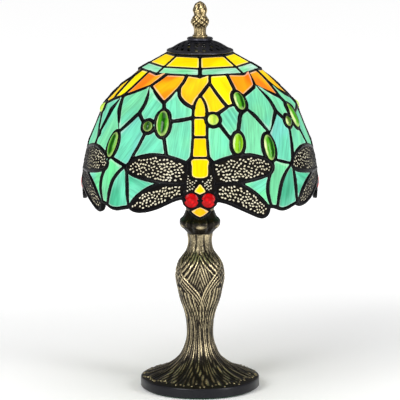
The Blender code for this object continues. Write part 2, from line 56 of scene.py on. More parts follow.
CAMERA_AT = (0.0, -2.352, 0.5819)
CAMERA_PITCH = math.radians(10.1)
CAMERA_LENS = 251.9
LAMP_MIDDLE = (0, 0, 0.17)
FLOOR_REACH, FLOOR_GAP = 6.0, 0.05    # metres to each side; mm under the foot
SOFTBOXES = {                         # place and size in metres, power in watts
    "key_softbox": ((-0.75, -0.95, 0.85), (0.5, 0.9), 14),
    "fill_softbox": ((0.95, -0.75, 0.55), (0.4, 0.9), 9),
    "top_softbox": ((0.0, -0.2, 1.4), (0.9, 0.9), 6),
    "rim_softbox": ((0.75, 0.8, 0.35), (0.4, 0.7), 0.7),
    "back_softbox": ((-0.75, 0.8, 0.35), (0.4, 0.7), 0.7),
}
ROOM_FRONT, ROOM_BACK = 0.46, 0.17    # how bright the room is before and behind the lamp


def place_camera():
    """A long lens from the front, looking down a little."""
    data = bpy.data.cameras.new("camera")
    data.lens = CAMERA_LENS
    data.sensor_width = 36.0
    camera = bpy.data.objects.new("camera", data)
    camera.location = CAMERA_AT
    camera.rotation_euler = (math.pi / 2 - CAMERA_PITCH, 0, 0)
    bpy.context.scene.collection.objects.link(camera)
    bpy.context.scene.camera = camera


def softbox(name, location, size, power):
    """A soft rectangle of light that faces the lamp."""
    data = bpy.data.lights.new(name, 'AREA')
    data.shape = 'RECTANGLE'
    data.size, data.size_y = size
    data.energy = power
    light = bpy.data.objects.new(name, data)
    light.location = location
    way = Vector(LAMP_MIDDLE) - light.location
    light.rotation_euler = way.to_track_quat('-Z', 'Y').to_euler()
    bpy.context.scene.collection.objects.link(light)


def light_studio():
    """Softboxes round the lamp in a pale room that is darker behind it."""
    for name, (location, size, power) in SOFTBOXES.items():
        softbox(name, location, size, power)
    world = bpy.data.worlds.new("studio")
    world.use_nodes = True
    tree = world.node_tree
    backdrop = tree.nodes["Background"]
    backdrop.inputs["Color"].default_value = (1, 1, 1, 1)
    way = node(tree, 'ShaderNodeSeparateXYZ',
               {0: out(tree, 'ShaderNodeTexCoord', output="Generated")})
    room = ramp(tree, way.outputs["Y"], -0.85, 0.1, ROOM_FRONT, ROOM_BACK)
    seen = out(tree, 'ShaderNodeLightPath', output="Is Camera Ray")
    tree.links.new(maths(tree, 'MAXIMUM', room, seen), backdrop.inputs["Strength"])
    scene = bpy.context.scene
    scene.world = world
    scene.view_settings.view_transform = 'Standard'


def lay_floor(finish):
    """A wide white floor, a hair under the lamp's foot."""
    mesh = bpy.data.meshes.new("floor")
    mesh.from_pydata([(x * FLOOR_REACH, y * FLOOR_REACH, -FLOOR_GAP * MM)
                      for x, y in ((-1, -1), (1, -1), (1, 1), (-1, 1))], [], [(0, 1, 2, 3)])
    new_object("floor", mesh, finish)


# ---- node trees ----

def node(tree, kind, inputs=None, **settings):
    """Adds a node; inputs gives numbers, colours or output sockets for its inputs."""
    made = tree.nodes.new(kind)
    for key, value in settings.items():
        setattr(made, key, value)
    for key, value in (inputs or {}).items():
        if isinstance(value, bpy.types.NodeSocket):
            tree.links.new(value, made.inputs[key])
        else:
            made.inputs[key].default_value = value
    return made


def out(tree, kind, inputs=None, output=0, **settings):
    """Adds a node and gives one of its outputs."""
    return node(tree, kind, inputs, **settings).outputs[output]


def maths(tree, operation, *values):
    return out(tree, 'ShaderNodeMath', dict(enumerate(values)), operation=operation)


def ramp(tree, value, low, high, to_low=0.0, to_high=1.0):
    """Maps a value smoothly from one span onto another."""
    return out(tree, 'ShaderNodeMapRange', {"Value": value, "From Min": low, "From Max": high,
               "To Min": to_low, "To Max": to_high}, interpolation_type='SMOOTHSTEP')


def blend_colors(tree, share, first, second):
    mix = node(tree, 'ShaderNodeMix', data_type='RGBA')
    sockets = [s for s in mix.inputs if s.type == 'RGBA']
    for socket, value in zip([mix.inputs[0]] + sockets, (share, first, second)):
        if isinstance(value, bpy.types.NodeSocket):
            tree.links.new(value, socket)
        else:
            socket.default_value = value
    return [s for s in mix.outputs if s.type == 'RGBA'][0]


def stretched(tree, place, scales):
    return out(tree, 'ShaderNodeVectorMath', {0: place, 1: scales}, operation='MULTIPLY')


def speckle(tree, place, scale, detail=2.0, roughness=0.55):
    return out(tree, 'ShaderNodeTexNoise', {"Vector": place, "Scale": scale, "Detail": detail,
               "Roughness": roughness})


FLOAT, WHOLE, COLOR, VECTOR, MATERIAL, GEOMETRY = (
    f"NodeSocket{kind}" for kind in ("Float", "Int", "Color", "Vector", "Material", "Geometry"))


def empty_tree(name, kind, inputs, outputs):
    """An empty node tree with named sockets; returns it, what comes in, and its end node."""
    tree = bpy.data.node_groups.new(name, kind)
    for label, socket_type, value in inputs:
        socket = tree.interface.new_socket(label, in_out='INPUT', socket_type=socket_type)
        if value is not None:
            socket.default_value = value
    for label, socket_type in outputs:
        tree.interface.new_socket(label, in_out='OUTPUT', socket_type=socket_type)
    return tree, tree.nodes.new('NodeGroupInput').outputs, tree.nodes.new('NodeGroupOutput')


def connect(tree, end, **values):
    """Links each value to the input of the same name on an end node or a shader."""
    for key, value in values.items():
        tree.links.new(value, end.inputs[key.replace("_", " ")])


def scaled(tree, value, scale):
    return out(tree, 'ShaderNodeVectorMath', {0: value, "Scale": scale}, operation='SCALE')


SURFACE = [("Color", COLOR), ("Roughness", FLOAT), ("Height", FLOAT)]


def make_streaked_glass_group():
    """Hand-rolled glass: two tints clouding into each other, drawn out in fine streaks, with a
    painted pale highlight along its edges.
    """
    group, given, result = empty_tree("streaked_glass", 'ShaderNodeTree', [
        ("Lay", VECTOR, None), ("Tint", COLOR, None), ("Second Tint", COLOR, None),
        ("Edge", FLOAT, 0.0), ("Streaks", FLOAT, 0.3), ("Clouds", FLOAT, 1.0),
    ], [("Color", COLOR), ("Height", FLOAT)])
    fine, broad, cloud = (
        speckle(group, stretched(group, given["Lay"], (across, along, 1.0)), 1.0, detail)
        for across, along, detail in ((0.75, 0.05, 3.0), (0.22, 0.035, 1.0), (0.055, 0.03, 1.0)))
    lines = maths(group, 'MULTIPLY_ADD', fine, 0.6, maths(group, 'MULTIPLY', broad, 0.4))
    lines = ramp(group, lines, 0.34, 0.66, -1.0, 1.0)
    share = maths(group, 'MULTIPLY', ramp(group, cloud, 0.36, 0.64), given["Clouds"])
    color = blend_colors(group, share, given["Tint"], given["Second Tint"])
    strength = maths(group, 'MULTIPLY_ADD', lines, given["Streaks"], 1.0)
    color = scaled(group, color, strength)
    # painted highlight: the glass turns pale next to the solder, a thin light line along each edge
    pale = blend_colors(group, 0.24, color, (1.0, 1.0, 0.95, 1.0))
    color = blend_colors(group, ramp(group, given["Edge"], 0.06, 0.30), color, pale)
    height = maths(group, 'MULTIPLY_ADD', broad, 0.6, maths(group, 'MULTIPLY', fine, 0.15))
    connect(group, result, Color=color, Height=height)
    return group


def make_worn_metal_group():
    """Dark patina rubbed off the high places, with speckled grime and tiny pits."""
    group, given, result = empty_tree("worn_metal", 'ShaderNodeTree', [
        ("Place", VECTOR, None), ("Relief", FLOAT, 0.5), ("Dark", COLOR, None),
        ("Bright", COLOR, None), ("Grain", FLOAT, 900.0), ("Rub", FLOAT, 0.0)], SURFACE)
    grain = speckle(group, given["Place"], given["Grain"], 3.0, 0.7)
    rubbed = maths(group, 'ADD', given["Relief"], given["Rub"])
    for uneven in (grain, speckle(group, given["Place"], 90.0, 2.0)):
        rubbed = maths(group, 'MULTIPLY_ADD', maths(group, 'SUBTRACT', uneven, 0.5), 0.55, rubbed)
    bare = ramp(group, rubbed, 0.35, 0.85)
    gloss = ramp(group, maths(group, 'ADD', grain, bare), 0.3, 1.6, 0.42, 0.20)
    connect(group, result, Color=blend_colors(group, bare, given["Dark"], given["Bright"]),
            Roughness=gloss, Height=grain)
    return group


def make_handled_group():
    """Faint smears and dust that break up the gloss of a smooth part."""
    group, given, result = empty_tree("handled_surface", 'ShaderNodeTree', [
        ("Place", VECTOR, None), ("Gloss", FLOAT, 0.2), ("Smears", FLOAT, 0.12),
        ("Base", COLOR, None), ("Grain", FLOAT, 600.0)], SURFACE)
    smear = ramp(group, speckle(group, given["Place"], 70.0, 3.0), 0.4, 0.7)
    grain = speckle(group, given["Place"], given["Grain"], 2.0)
    shade = maths(group, 'MULTIPLY_ADD', maths(group, 'SUBTRACT', grain, 0.5), 0.35, 1.0)
    connect(group, result, Color=scaled(group, given["Base"], shade), Height=grain,
            Roughness=maths(group, 'MULTIPLY_ADD', smear, given["Smears"], given["Gloss"]))
    return group


GROUPS = {"glass": make_streaked_glass_group(), "worn": make_worn_metal_group(),
          "handled": make_handled_group()}


def use_group(tree, name, inputs):
    return node(tree, 'ShaderNodeGroup', inputs, node_tree=GROUPS[name]).outputs


def attribute(tree, name, output="Fac"):
    return out(tree, 'ShaderNodeAttribute', attribute_name=name, output=output)


def object_place(tree):
    return out(tree, 'ShaderNodeTexCoord', output="Object")


def finish(name, **settings):
    """A new material with plain numbers set on its shader."""
    mat = bpy.data.materials.new(name)
    mat.use_nodes = True
    shader = mat.node_tree.nodes["Principled BSDF"]
    for key, value in settings.items():
        shader.inputs[key.replace("_", " ").title().replace("Ior", "IOR")].default_value = value
    return mat, mat.node_tree, shader


def bumped(tree, shader, height, strength, distance):
    """Gives a shader fine relief from a height."""
    bump = node(tree, 'ShaderNodeBump', {"Height": height, "Strength": strength,
                                         "Distance": distance})
    tree.links.new(bump.outputs["Normal"], shader.inputs["Normal"])


def glow(tree, shader, color, dull):
    """Painted light: the glass glows in this colour, standing for the bulb's light coming through
    it; what it throws back is duller.
    """
    connect(tree, shader, Emission_Color=color,
            Base_Color=blend_colors(tree, dull, color, (0, 0, 0, 1)))


def worn_metal(name, dark, bright, relief=None, grain=900.0, rub=0.0, bump=0.25, metallic=0.85,
               specular=0.5):
    """A cast metal; relief names the attribute that says how high a place stands."""
    mat, tree, shader = finish(name, metallic=metallic, specular_ior_level=specular)
    height = attribute(tree, relief) if relief else 0.5
    got = use_group(tree, "worn", {"Place": object_place(tree), "Relief": height,
                    "Dark": (*dark, 1), "Bright": (*bright, 1), "Grain": grain, "Rub": rub})
    connect(tree, shader, Base_Color=got["Color"], Roughness=got["Roughness"])
    bumped(tree, shader, got["Height"], bump, 0.0002)
    return mat


def smooth_part(name, color, gloss, smears=0.12, grain=600.0, bump=0.08, **settings):
    """A smooth metal, plastic or rubber part that has been handled."""
    mat, tree, shader = finish(name, **settings)
    got = use_group(tree, "handled", {"Place": object_place(tree), "Gloss": gloss,
                    "Smears": smears, "Base": (*color, 1), "Grain": grain})
    connect(tree, shader, Base_Color=got["Color"], Roughness=got["Roughness"])
    bumped(tree, shader, got["Height"], bump, 0.0001)
    return mat


def art_glass(name, streaks, clouds, light):
    """Streaky sheet glass, glowing with painted light for the bulb behind it."""
    mat, tree, shader = finish(name, roughness=0.30, specular_ior_level=0.06,
                               emission_strength=light)
    got = use_group(tree, "glass", {"Lay": attribute(tree, "lay", "Vector"),
                    "Tint": attribute(tree, "tint", "Color"),
                    "Second Tint": attribute(tree, "second_tint", "Color"),
                    "Edge": attribute(tree, "edge"), "Streaks": streaks, "Clouds": clouds})
    glow(tree, shader, got["Color"], 0.72)
    bumped(tree, shader, got["Height"], 0.35, 0.0006)
    return mat


def cabochon_glass():
    """Cast glass: a painted highlight on its upper left, a painted light rim where the light
    gathers, and a deep core down the middle.
    """
    mat, tree, shader = finish("cabochon_glass", roughness=0.10, coat_weight=0.2,
                               coat_roughness=0.03, specular_ior_level=0.1,
                               emission_strength=0.62)
    place = attribute(tree, "lay", "Vector")
    parts = node(tree, 'ShaderNodeSeparateXYZ', {"Vector": place})
    across, rise = parts.outputs["X"], parts.outputs["Z"]
    wobble = maths(tree, 'MULTIPLY_ADD', speckle(tree, place, 1.7, 2.0), 0.5, -0.25)
    across = maths(tree, 'ADD', across, wobble)
    off_core = maths(tree, 'ABSOLUTE', maths(tree, 'SUBTRACT', across, 0.2))
    core = ramp(tree, off_core, 0.12, 0.5, 1.0, 0.0)
    color = blend_colors(tree, core, attribute(tree, "tint", "Color"),
                         attribute(tree, "second_tint", "Color"))
    # painted highlight: a pale cream crescent on the left, upper side of each cabochon
    left = maths(tree, 'MULTIPLY', ramp(tree, across, -0.92, -0.5, 1.0, 0.0),
                 ramp(tree, rise, 0.55, 0.85, 1.0, 0.35))
    color = blend_colors(tree, left, color, (0.80, 0.90, 0.42, 1.0))
    # painted light: a lime rim where the light gathers at the cabochon's edge
    rim = ramp(tree, attribute(tree, "edge"), 0.72, 0.98)
    color = blend_colors(tree, maths(tree, 'MULTIPLY', rim, 0.5), color, (0.62, 0.85, 0.25, 1.0))
    glow(tree, shader, color, 0.6)
    bumped(tree, shader, speckle(tree, place, 2.0), 0.15, 0.0004)
    return mat


def eye_glass():
    """Deep red glass, pebbled, and darker at its rim."""
    mat, tree, shader = finish("eye_glass", roughness=0.12, coat_weight=0.12, coat_roughness=0.03,
                               specular_ior_level=0.1, emission_strength=0.45)
    place = attribute(tree, "lay", "Vector")
    cells = out(tree, 'ShaderNodeTexVoronoi', {"Vector": place, "Scale": 2.2})
    rim = ramp(tree, attribute(tree, "edge"), 0.6, 1.0)
    deep = maths(tree, 'MAXIMUM', maths(tree, 'MULTIPLY', ramp(tree, cells, 0.1, 0.75), 0.55),
                 maths(tree, 'MULTIPLY', rim, 0.8))
    color = blend_colors(tree, deep, (0.74, 0.0, 0.002, 1), (0.10, 0.0, 0.0, 1))
    glow(tree, shader, color, 0.5)
    bumped(tree, shader, cells, 0.5, 0.0008)
    return mat


def felt_cloth():
    mat, tree, shader = finish("felt", roughness=0.95, sheen_weight=0.4)
    fibres = speckle(tree, object_place(tree), 2500.0, 4.0, 0.8)
    connect(tree, shader, Base_Color=blend_colors(tree, fibres, (0.006, 0.03, 0.014, 1),
                                                  (0.02, 0.09, 0.045, 1)))
    bumped(tree, shader, fibres, 0.6, 0.0004)
    return mat


def clear_glass():
    mat, tree, shader = finish("clear_cover", roughness=0.03, transmission_weight=1.0, ior=1.45,
                               coat_weight=0.3)
    smears = speckle(tree, object_place(tree), 120.0, 3.0)
    connect(tree, shader, Base_Color=blend_colors(tree, smears, (0.97, 0.98, 0.99, 1),
                                                  (0.90, 0.93, 0.95, 1)))
    return mat


def emitter_phosphor():
    mat, tree, shader = finish("emitter_phosphor", roughness=0.4, emission_strength=0.12)
    grain = speckle(tree, object_place(tree), 1800.0)
    color = blend_colors(tree, grain, (0.90, 0.52, 0.05, 1), (0.95, 0.68, 0.14, 1))
    connect(tree, shader, Base_Color=color, Emission_Color=color)
    return mat


def pale_floor():
    """A white sweep that glows with painted light, more the further it is from the lamp, so that it
    fades into the studio and stays darker round the lamp.
    """
    mat, tree, shader = finish("floor", roughness=0.6, emission_color=(1, 1, 1, 1))
    place = object_place(tree)
    grain = speckle(tree, place, 3.0)
    far = out(tree, 'ShaderNodeVectorMath', {0: place}, output="Value", operation='LENGTH')
    # painted light: the floor's glow grows with distance from the lamp, leaving it darker near the
    # foot
    connect(tree, shader, Emission_Strength=ramp(tree, far, 0.05, 0.9, 0.12, 0.75),
            Base_Color=blend_colors(tree, grain, (0.86, 0.86, 0.86, 1), (0.90, 0.90, 0.90, 1)))
    return mat


FINISH = {
    "floor": pale_floor(),
    "sheet_glass": art_glass("streaky_sheet_glass", 0.20, 0.8, 0.66),
    "flame_glass": art_glass("flame_sheet_glass", 0.10, 0.8, 0.82),
    "wing_glass": art_glass("ivory_wing_glass", 0.10, 0.5, 0.75),
    "cabochon": cabochon_glass(),
    "eye": eye_glass(),
    "solder": smooth_part("patinated_solder", (0.002, 0.002, 0.0025), 0.22, grain=420.0, bump=0.2,
                          specular_ior_level=0.07),
    "filigree": worn_metal("filigree", (0.003, 0.003, 0.003), (0.014, 0.011, 0.008), grain=1200.0,
                           metallic=0.0, specular=0.02),
    "bronze": worn_metal("antique_casting", (0.016, 0.013, 0.010), (0.60, 0.50, 0.30), "relief"),
    "foot_edge": smooth_part("dark_patina", (0.006, 0.006, 0.009), 0.28,
                             specular_ior_level=0.25),
    "brass": worn_metal("antique_brass", (0.035, 0.022, 0.009), (0.50, 0.39, 0.20), "relief"),
    "gunmetal": worn_metal("gunmetal", (0.018, 0.018, 0.024), (0.11, 0.11, 0.135), "relief",
                           bump=0.15),
    "steel": smooth_part("plated_steel", (0.27, 0.26, 0.235), 0.28, metallic=1.0),
    "chrome": smooth_part("chrome", (0.62, 0.62, 0.64), 0.08, smears=0.06, metallic=1.0),
    "socket_brass": smooth_part("socket_brass", (0.46, 0.33, 0.13), 0.26, metallic=1.0),
    "phenolic": smooth_part("black_phenolic", (0.008, 0.008, 0.008), 0.34),
    "white_plastic": smooth_part("white_plastic", (0.62, 0.62, 0.58), 0.30),
    "rubber": smooth_part("black_rubber", (0.016, 0.016, 0.016), 0.55),
    "felt": felt_cloth(),
    "clear": clear_glass(),
    "phosphor": emitter_phosphor(),
    "nodules": worn_metal("rubbed_nodules", (0.02, 0.015, 0.01), (0.50, 0.42, 0.24), rub=0.1),
}


# ---- meshes ----

def new_object(name, mesh, mat=None):
    obj = bpy.data.objects.new(name, mesh)
    bpy.context.scene.collection.objects.link(obj)
    if mat:
        mesh.materials.clear()
        mesh.materials.append(mat)
    return obj


def mesh_object(name, bm, mat, sharp=40):
    """Closes a bmesh into an object, smooth but for edges sharper than that many degrees."""
    bmesh.ops.recalc_face_normals(bm, faces=bm.faces)
    mesh = bpy.data.meshes.new(name)
    bm.to_mesh(mesh)
    bm.free()
    mesh.shade_smooth()
    mesh.set_sharp_from_angle(angle=math.radians(sharp))
    return new_object(name, mesh, mat)


def fit(obj, body, slot, *stands_for):
    """Attaches a finished piece to the body it rides on and hides the CAD parts that it stands for;
    slot is not used.
    """
    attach(obj, body)
    if stands_for:
        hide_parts(*stands_for)
    return obj


def curve(points, steps=4):
    """A smooth open path through the points, steps to each stretch."""
    ends = [points[0]] + list(points) + [points[-1]]
    path = []
    for i in range(1, len(ends) - 2):
        p0, p1, p2, p3 = (Vector(p) for p in ends[i - 1:i + 3])
        for k in range(steps):
            t = k / steps
            path.append(0.5 * (2 * p1 + (p2 - p0) * t + (2 * p0 - 5 * p1 + 4 * p2 - p3) * t ** 2
                               + (3 * p1 - p0 - 3 * p2 + p3) * t ** 3))
    return [tuple(p) for p in path] + [tuple(points[-1])]


# ---- geometry node trees ----

def geometry_tree(name, inputs):
    """An empty tree that takes and gives a shape; Finish is its material."""
    return empty_tree(name, 'GeometryNodeTree', [
        ("Geometry", GEOMETRY, None), *inputs, ("Finish", MATERIAL, None)],
        [("Geometry", GEOMETRY)])


def close_tree(tree, geometry, given, result):
    """Ends a tree: what it made becomes real and gets its finish."""
    real = out(tree, 'GeometryNodeRealizeInstances', {"Geometry": geometry})
    made = out(tree, 'GeometryNodeSetMaterial', {"Geometry": real, "Material": given["Finish"]})
    tree.links.new(made, result.inputs["Geometry"])
    return tree


def joined(tree, *shapes):
    join = node(tree, 'GeometryNodeJoinGeometry')
    for shape in shapes:
        tree.links.new(shape, join.inputs[0])
    return join.outputs[0]


def circle(tree, sides, radius):
    return out(tree, 'GeometryNodeCurvePrimitiveCircle', {"Resolution": sides, "Radius": radius})


def vector(tree, **parts):
    return out(tree, 'ShaderNodeCombineXYZ', parts)


def lot(tree, low, high, seed):
    """A random number for each point."""
    picked = node(tree, 'FunctionNodeRandomValue', {"Seed": seed}, data_type='FLOAT')
    picked.inputs[2].default_value, picked.inputs[3].default_value = low, high
    return picked.outputs[1]


def set_at(tree, points, shape, turn, **settings):
    """A copy of a shape at each point, turned about the upright by that much."""
    return out(tree, 'GeometryNodeInstanceOnPoints', {"Points": points, "Instance": shape,
               "Rotation": vector(tree, Z=turn), **settings})


def pierced_sheet(tree, outlines, thickness):
    """A closed sheet between flat outlines, pierced where they lie inside each other."""
    sheet = out(tree, 'GeometryNodeFillCurve', {"Curve": outlines}, mode='TRIANGLES')
    raised = out(tree, 'GeometryNodeExtrudeMesh', {"Mesh": sheet, "Individual": False,
                 "Offset Scale": thickness}, mode='FACES')
    both = joined(tree, raised, out(tree, 'GeometryNodeFlipFaces', {"Mesh": sheet}))
    return out(tree, 'GeometryNodeMergeByDistance', {"Geometry": both, "Distance": 1e-6})


def grow(name, tree, start=None, **values):
    """Runs a tree on a start mesh, or on none, with those input values; returns a plain mesh."""
    obj = new_object(name, start or bpy.data.meshes.new(name))
    modifier = obj.modifiers.new(tree.name, 'NODES')
    modifier.node_group = tree
    for item in tree.interface.items_tree:
        label = item.name.lower().replace(" ", "_")
        if item.item_type == 'SOCKET' and item.in_out == 'INPUT' and label in values:
            modifier[item.identifier] = values[label]
    evaluated = obj.evaluated_get(bpy.context.evaluated_depsgraph_get())
    mesh = bpy.data.meshes.new_from_object(evaluated)
    obj.modifiers.remove(modifier)
    obj.data = mesh
    return obj


def make_solder_tree():
    """Runs solder along the edges of a mesh, with its own width at each place, as one skin."""
    tree, given, result = geometry_tree("run_solder", [
        ("Step", FLOAT, 0.8 * MM), ("Fineness", FLOAT, 0.7 * MM), ("Unevenness", FLOAT, 0.12)])
    lines = out(tree, 'GeometryNodeMeshToCurve', {"Mesh": given["Geometry"]})
    beads = out(tree, 'GeometryNodeCurveToPoints', {"Curve": lines, "Length": given["Step"]},
                mode='LENGTH')
    lumps = out(tree, 'ShaderNodeTexNoise', {"Scale": 160.0, "Detail": 1.0})
    swell = maths(tree, 'MULTIPLY_ADD', maths(tree, 'SUBTRACT', lumps, 0.5),
                  given["Unevenness"], 1.0)
    width = out(tree, 'GeometryNodeInputNamedAttribute', {"Name": "bead"}, data_type='FLOAT')
    skin = out(tree, 'GeometryNodePointsToVolume', {"Points": beads, "Voxel Size":
               given["Fineness"], "Radius": maths(tree, 'MULTIPLY', width, swell)},
               resolution_mode='VOXEL_SIZE')
    skin = out(tree, 'GeometryNodeVolumeToMesh', {"Volume": skin})
    flowed = out(tree, 'GeometryNodeBlurAttribute', {"Value": out(tree,
                 'GeometryNodeInputPosition'), "Iterations": 2}, data_type='FLOAT_VECTOR')
    skin = out(tree, 'GeometryNodeSetPosition', {"Geometry": skin, "Position": flowed})
    skin = out(tree, 'GeometryNodeSetShadeSmooth', {"Geometry": skin})
    return close_tree(tree, skin, given, result)


def make_filigree_tree():
    """Pierces a flat outline with scattered oval holes, longer along its lie, and thickens it."""
    tree, given, result = geometry_tree("pierce_filigree", [
        ("Spacing", FLOAT, 2.6 * MM), ("Border", FLOAT, 2.6 * MM), ("Lie", FLOAT, 0.0),
        ("Length", FLOAT, 1.25 * MM), ("Width", FLOAT, 0.8 * MM), ("Thickness", FLOAT, 0.7 * MM),
        ("Seed", WHOLE, 1)])
    blank = given["Geometry"]
    holes = out(tree, 'GeometryNodeDistributePointsOnFaces', {"Mesh": blank,
                "Distance Min": given["Spacing"], "Density Max": 1e7, "Seed": given["Seed"]},
                distribute_method='POISSON')
    away = out(tree, 'GeometryNodeProximity', {"Geometry": blank}, output="Distance",
               target_element='EDGES')
    near = out(tree, 'FunctionNodeCompare', {"A": away, "B": given["Border"]},
               data_type='FLOAT', operation='LESS_THAN')
    holes = out(tree, 'GeometryNodeDeleteGeometry', {"Geometry": holes, "Selection": near},
                domain='POINT')
    size = vector(tree, X=maths(tree, 'MULTIPLY', given["Length"], lot(tree, 0.62, 1.0, 1)),
                  Y=maths(tree, 'MULTIPLY', given["Width"], lot(tree, 0.7, 1.0, 2)), Z=1.0)
    turn = maths(tree, 'ADD', given["Lie"], lot(tree, -0.75, 0.75, 3))
    holes = set_at(tree, holes, circle(tree, 9, 1.0), turn, Scale=size)
    holes = out(tree, 'GeometryNodeRealizeInstances', {"Geometry": holes})
    outlines = joined(tree, out(tree, 'GeometryNodeMeshToCurve', {"Mesh": blank}), holes)
    return close_tree(tree, pierced_sheet(tree, outlines, given["Thickness"]), given, result)


TREES = {"solder": make_solder_tree(), "filigree": make_filigree_tree()}


# ---- the shade's skin ----

SKIN = [(27.6, 291.0), (44.7, 281.5), (53.3, 276.5), (62.3, 268.5), (72.7, 258.2), (82.2, 247.5),
        (89.3, 229.4), (95.3, 215.5), (98.6, 204.0), (100.7, 192.0), (101.4, 181.0),
        (100.8, 170.0), (99.6, 155.0)]
OCTAGON_END = 28.0            # the two top rings are flat-sided down to here
ROUND_FROM = 58.0             # and the skin is round below here
SKIN_LENGTHS = [0.0]
for (r0, z0), (r1, z1) in zip(SKIN, SKIN[1:]):
    SKIN_LENGTHS.append(SKIN_LENGTHS[-1] + math.hypot(r1 - r0, z1 - z0))


def facet_normal(i):
    """Which way a stretch of the skin's section faces, as (outward, upward)."""
    i = min(max(i, 0), len(SKIN) - 2)
    (r0, z0), (r1, z1) = SKIN[i], SKIN[i + 1]
    return Vector((z0 - z1, r1 - r0)).normalized()


def on_skin(angle, down, depth=0.0):
    """World position in metres of a place on the shade's skin."""
    i = 0
    while i < len(SKIN) - 2 and SKIN_LENGTHS[i + 1] < down:
        i += 1
    t = (down - SKIN_LENGTHS[i]) / (SKIN_LENGTHS[i + 1] - SKIN_LENGTHS[i])
    radius = SKIN[i][0] + (SKIN[i + 1][0] - SKIN[i][0]) * t
    height = SKIN[i][1] + (SKIN[i + 1][1] - SKIN[i][1]) * t
    start = (facet_normal(i - 1) + facet_normal(i)).normalized()
    end = (facet_normal(i) + facet_normal(i + 1)).normalized()
    normal = start.lerp(end, min(max(t, 0.0), 1.0)).normalized()
    radius -= depth * normal.x
    height -= depth * normal.y
    flat = min(max((ROUND_FROM - down) / (ROUND_FROM - OCTAGON_END), 0.0), 1.0)
    octagon = math.cos(math.pi / 8) / math.cos(math.radians(angle % 45 - 22.5))
    radius *= 1 - flat * (1 - octagon)
    turn = math.radians(angle)
    return Vector((radius * math.sin(turn), -radius * math.cos(turn), height)) * MM


def degree_mm(down):
    """Length in mm of one degree round the skin at a distance down it."""
    p = on_skin(0, down)
    return math.radians(math.hypot(p.x, p.y) / MM)


def mirrored(path):
    return [(-a, d) for a, d in reversed(path)]


def turned(path, degrees):
    return [(a + degrees, d) for a, d in path]


# ---- the leaded pattern of one quarter ----

# Cabochons: angle, down, half height, half width in mm, lean to the right in degrees, colour.
CABOCHONS = {
    "tall_left": (-21.5, 77.0, 10.8, 5.2, -6, "bottle"),
    "round_left": (-30.3, 80.7, 4.2, 4.2, 0, "forest"),
    "round_right": (7.5, 73.2, 4.35, 4.35, 0, "lime"),
    "upper_right": (27.0, 56.5, 9.0, 4.3, 4, "bottle"),
    "middle_right": (20.2, 94.3, 8.6, 4.3, 10, "apple"),
    "tall_right": (38.3, 100.0, 10.8, 4.9, 2, "bottle"),
}
LEFT_QUARTER, PLAIN_JOINTS = 3, ("upper_right", "middle_right")
SETTING = 1.5                 # from a cabochon's edge to the middle of its solder ring
CAME, RING, FINE, RIM = 1.9, 2.05, 1.2, 1.9   # half widths of solder lines in mm


def cabochons_of(quarter):
    """The cabochons of a quarter; the left one has plain solder joints in place of two."""
    found = dict(CABOCHONS)
    if quarter % QUARTERS == LEFT_QUARTER:
        for name in PLAIN_JOINTS:
            found[name] = (*CABOCHONS[name][:2], 0.2, 0.2, 0, None)
    return found


def clock_place(cabochon, clock, outside=SETTING):
    """A place beside a cabochon, clock degrees clockwise from its top."""
    angle, down, half_height, half_width, lean, _ = cabochon
    c, t = math.radians(clock), math.radians(lean)
    x, y = math.sin(c) * (half_width + outside), math.cos(c) * (half_height + outside)
    return (angle + (x * math.cos(t) + y * math.sin(t)) / degree_mm(down),
            down - (y * math.cos(t) - x * math.sin(t)))


def ring(cabochon):
    """The line of solder round a cabochon."""
    return [clock_place(cabochon, 360 * k / 24) for k in range(25)]


TAIL_TIP = (0, 49)
TAIL_RIGHT = curve([TAIL_TIP, (2.6, 54.5), (4.0, 62), (4.1, 71.5), (3.9, 88), (4.3, 105.5)], 3)
TAIL_JOINTS = ((71.5, 4.1), (88, 3.9), (105.5, 4.3))
WING_TOP = curve([(6.6, 110.0), (11, 107.4), (17, 105), (22, 104.3), (27, 105), (34.5, 109),
                  (38.5, 115.5)])
WING_END = curve([(38.5, 115.5), (37.7, 119.4), (35.3, 121.8), (31, 123.8), (24, 125.9),
                  (17.8, 127.4)])
LOWER_TOP_RIGHT = curve([(17.8, 127.4), (22.5, 131.3), (27.5, 137.5), (31.2, 143.5), (34.3, 149.3)])
LOWER_END_RIGHT = curve([(34.3, 149.3), (34.7, 153), (33.5, 156.3), (31.7, 157.3), (29.4, 156.4),
                         (26.4, 154.1), (22.4, 150.8), (18.3, 147.3), (14.3, 143.9), (11, 141.9),
                         (8.0, 140.6)], 3)
LOWER_TOP_LEFT = curve([(-17.8, 127.4), (-23.5, 130.8), (-29, 136.8), (-33.2, 143.5),
                        (-35.7, 149.6)])
LOWER_END_LEFT = curve([(-35.7, 149.6), (-34.6, 151.5), (-32.4, 152.3), (-29.6, 152.2),
                        (-25.8, 150.9), (-21.8, 148.7), (-17.8, 145.4), (-14.2, 142.2),
                        (-11, 139.8), (-8.0, 138.6)], 3)
WING_ROOT = (7, 127.8)
WAIST = (6.7, 119)
NECK = (7.6, 134.6)
THORAX = curve([(0, 105.5), (4.0, 106.2), (4.8, 108.5), (4.4, 112.5), (4.4, 118.5), (3.3, 122.1),
                (0, 123.2)], 3)
FACE = [(0, 125.8), (3.3, 133.8), (0, 136.6), (-3.3, 133.8)]
BEAK = curve([(0, 145.7), (4.5, 149.6), (4.3, 151.0), (2.2, 154.2), (0, 156.0)], 2)
EYE = (4.05, 141.0, 6.8)      # angle, down, radius in mm
LEAF_TOP = (50.7, 116.2)
LEAF_LEFT = curve([(38.5, 115.5), (36.3, 121.5), (34.5, 128.5), (34.1, 137), (35.1, 144.5),
                   (36.2, 149.2)])
LEAF_MIDDLE = curve([LEAF_TOP, (47.6, 120.3), (45.0, 125), (42.9, 130.5), (41.4, 138),
                     (40.4, 145), (39.9, 151.0)])
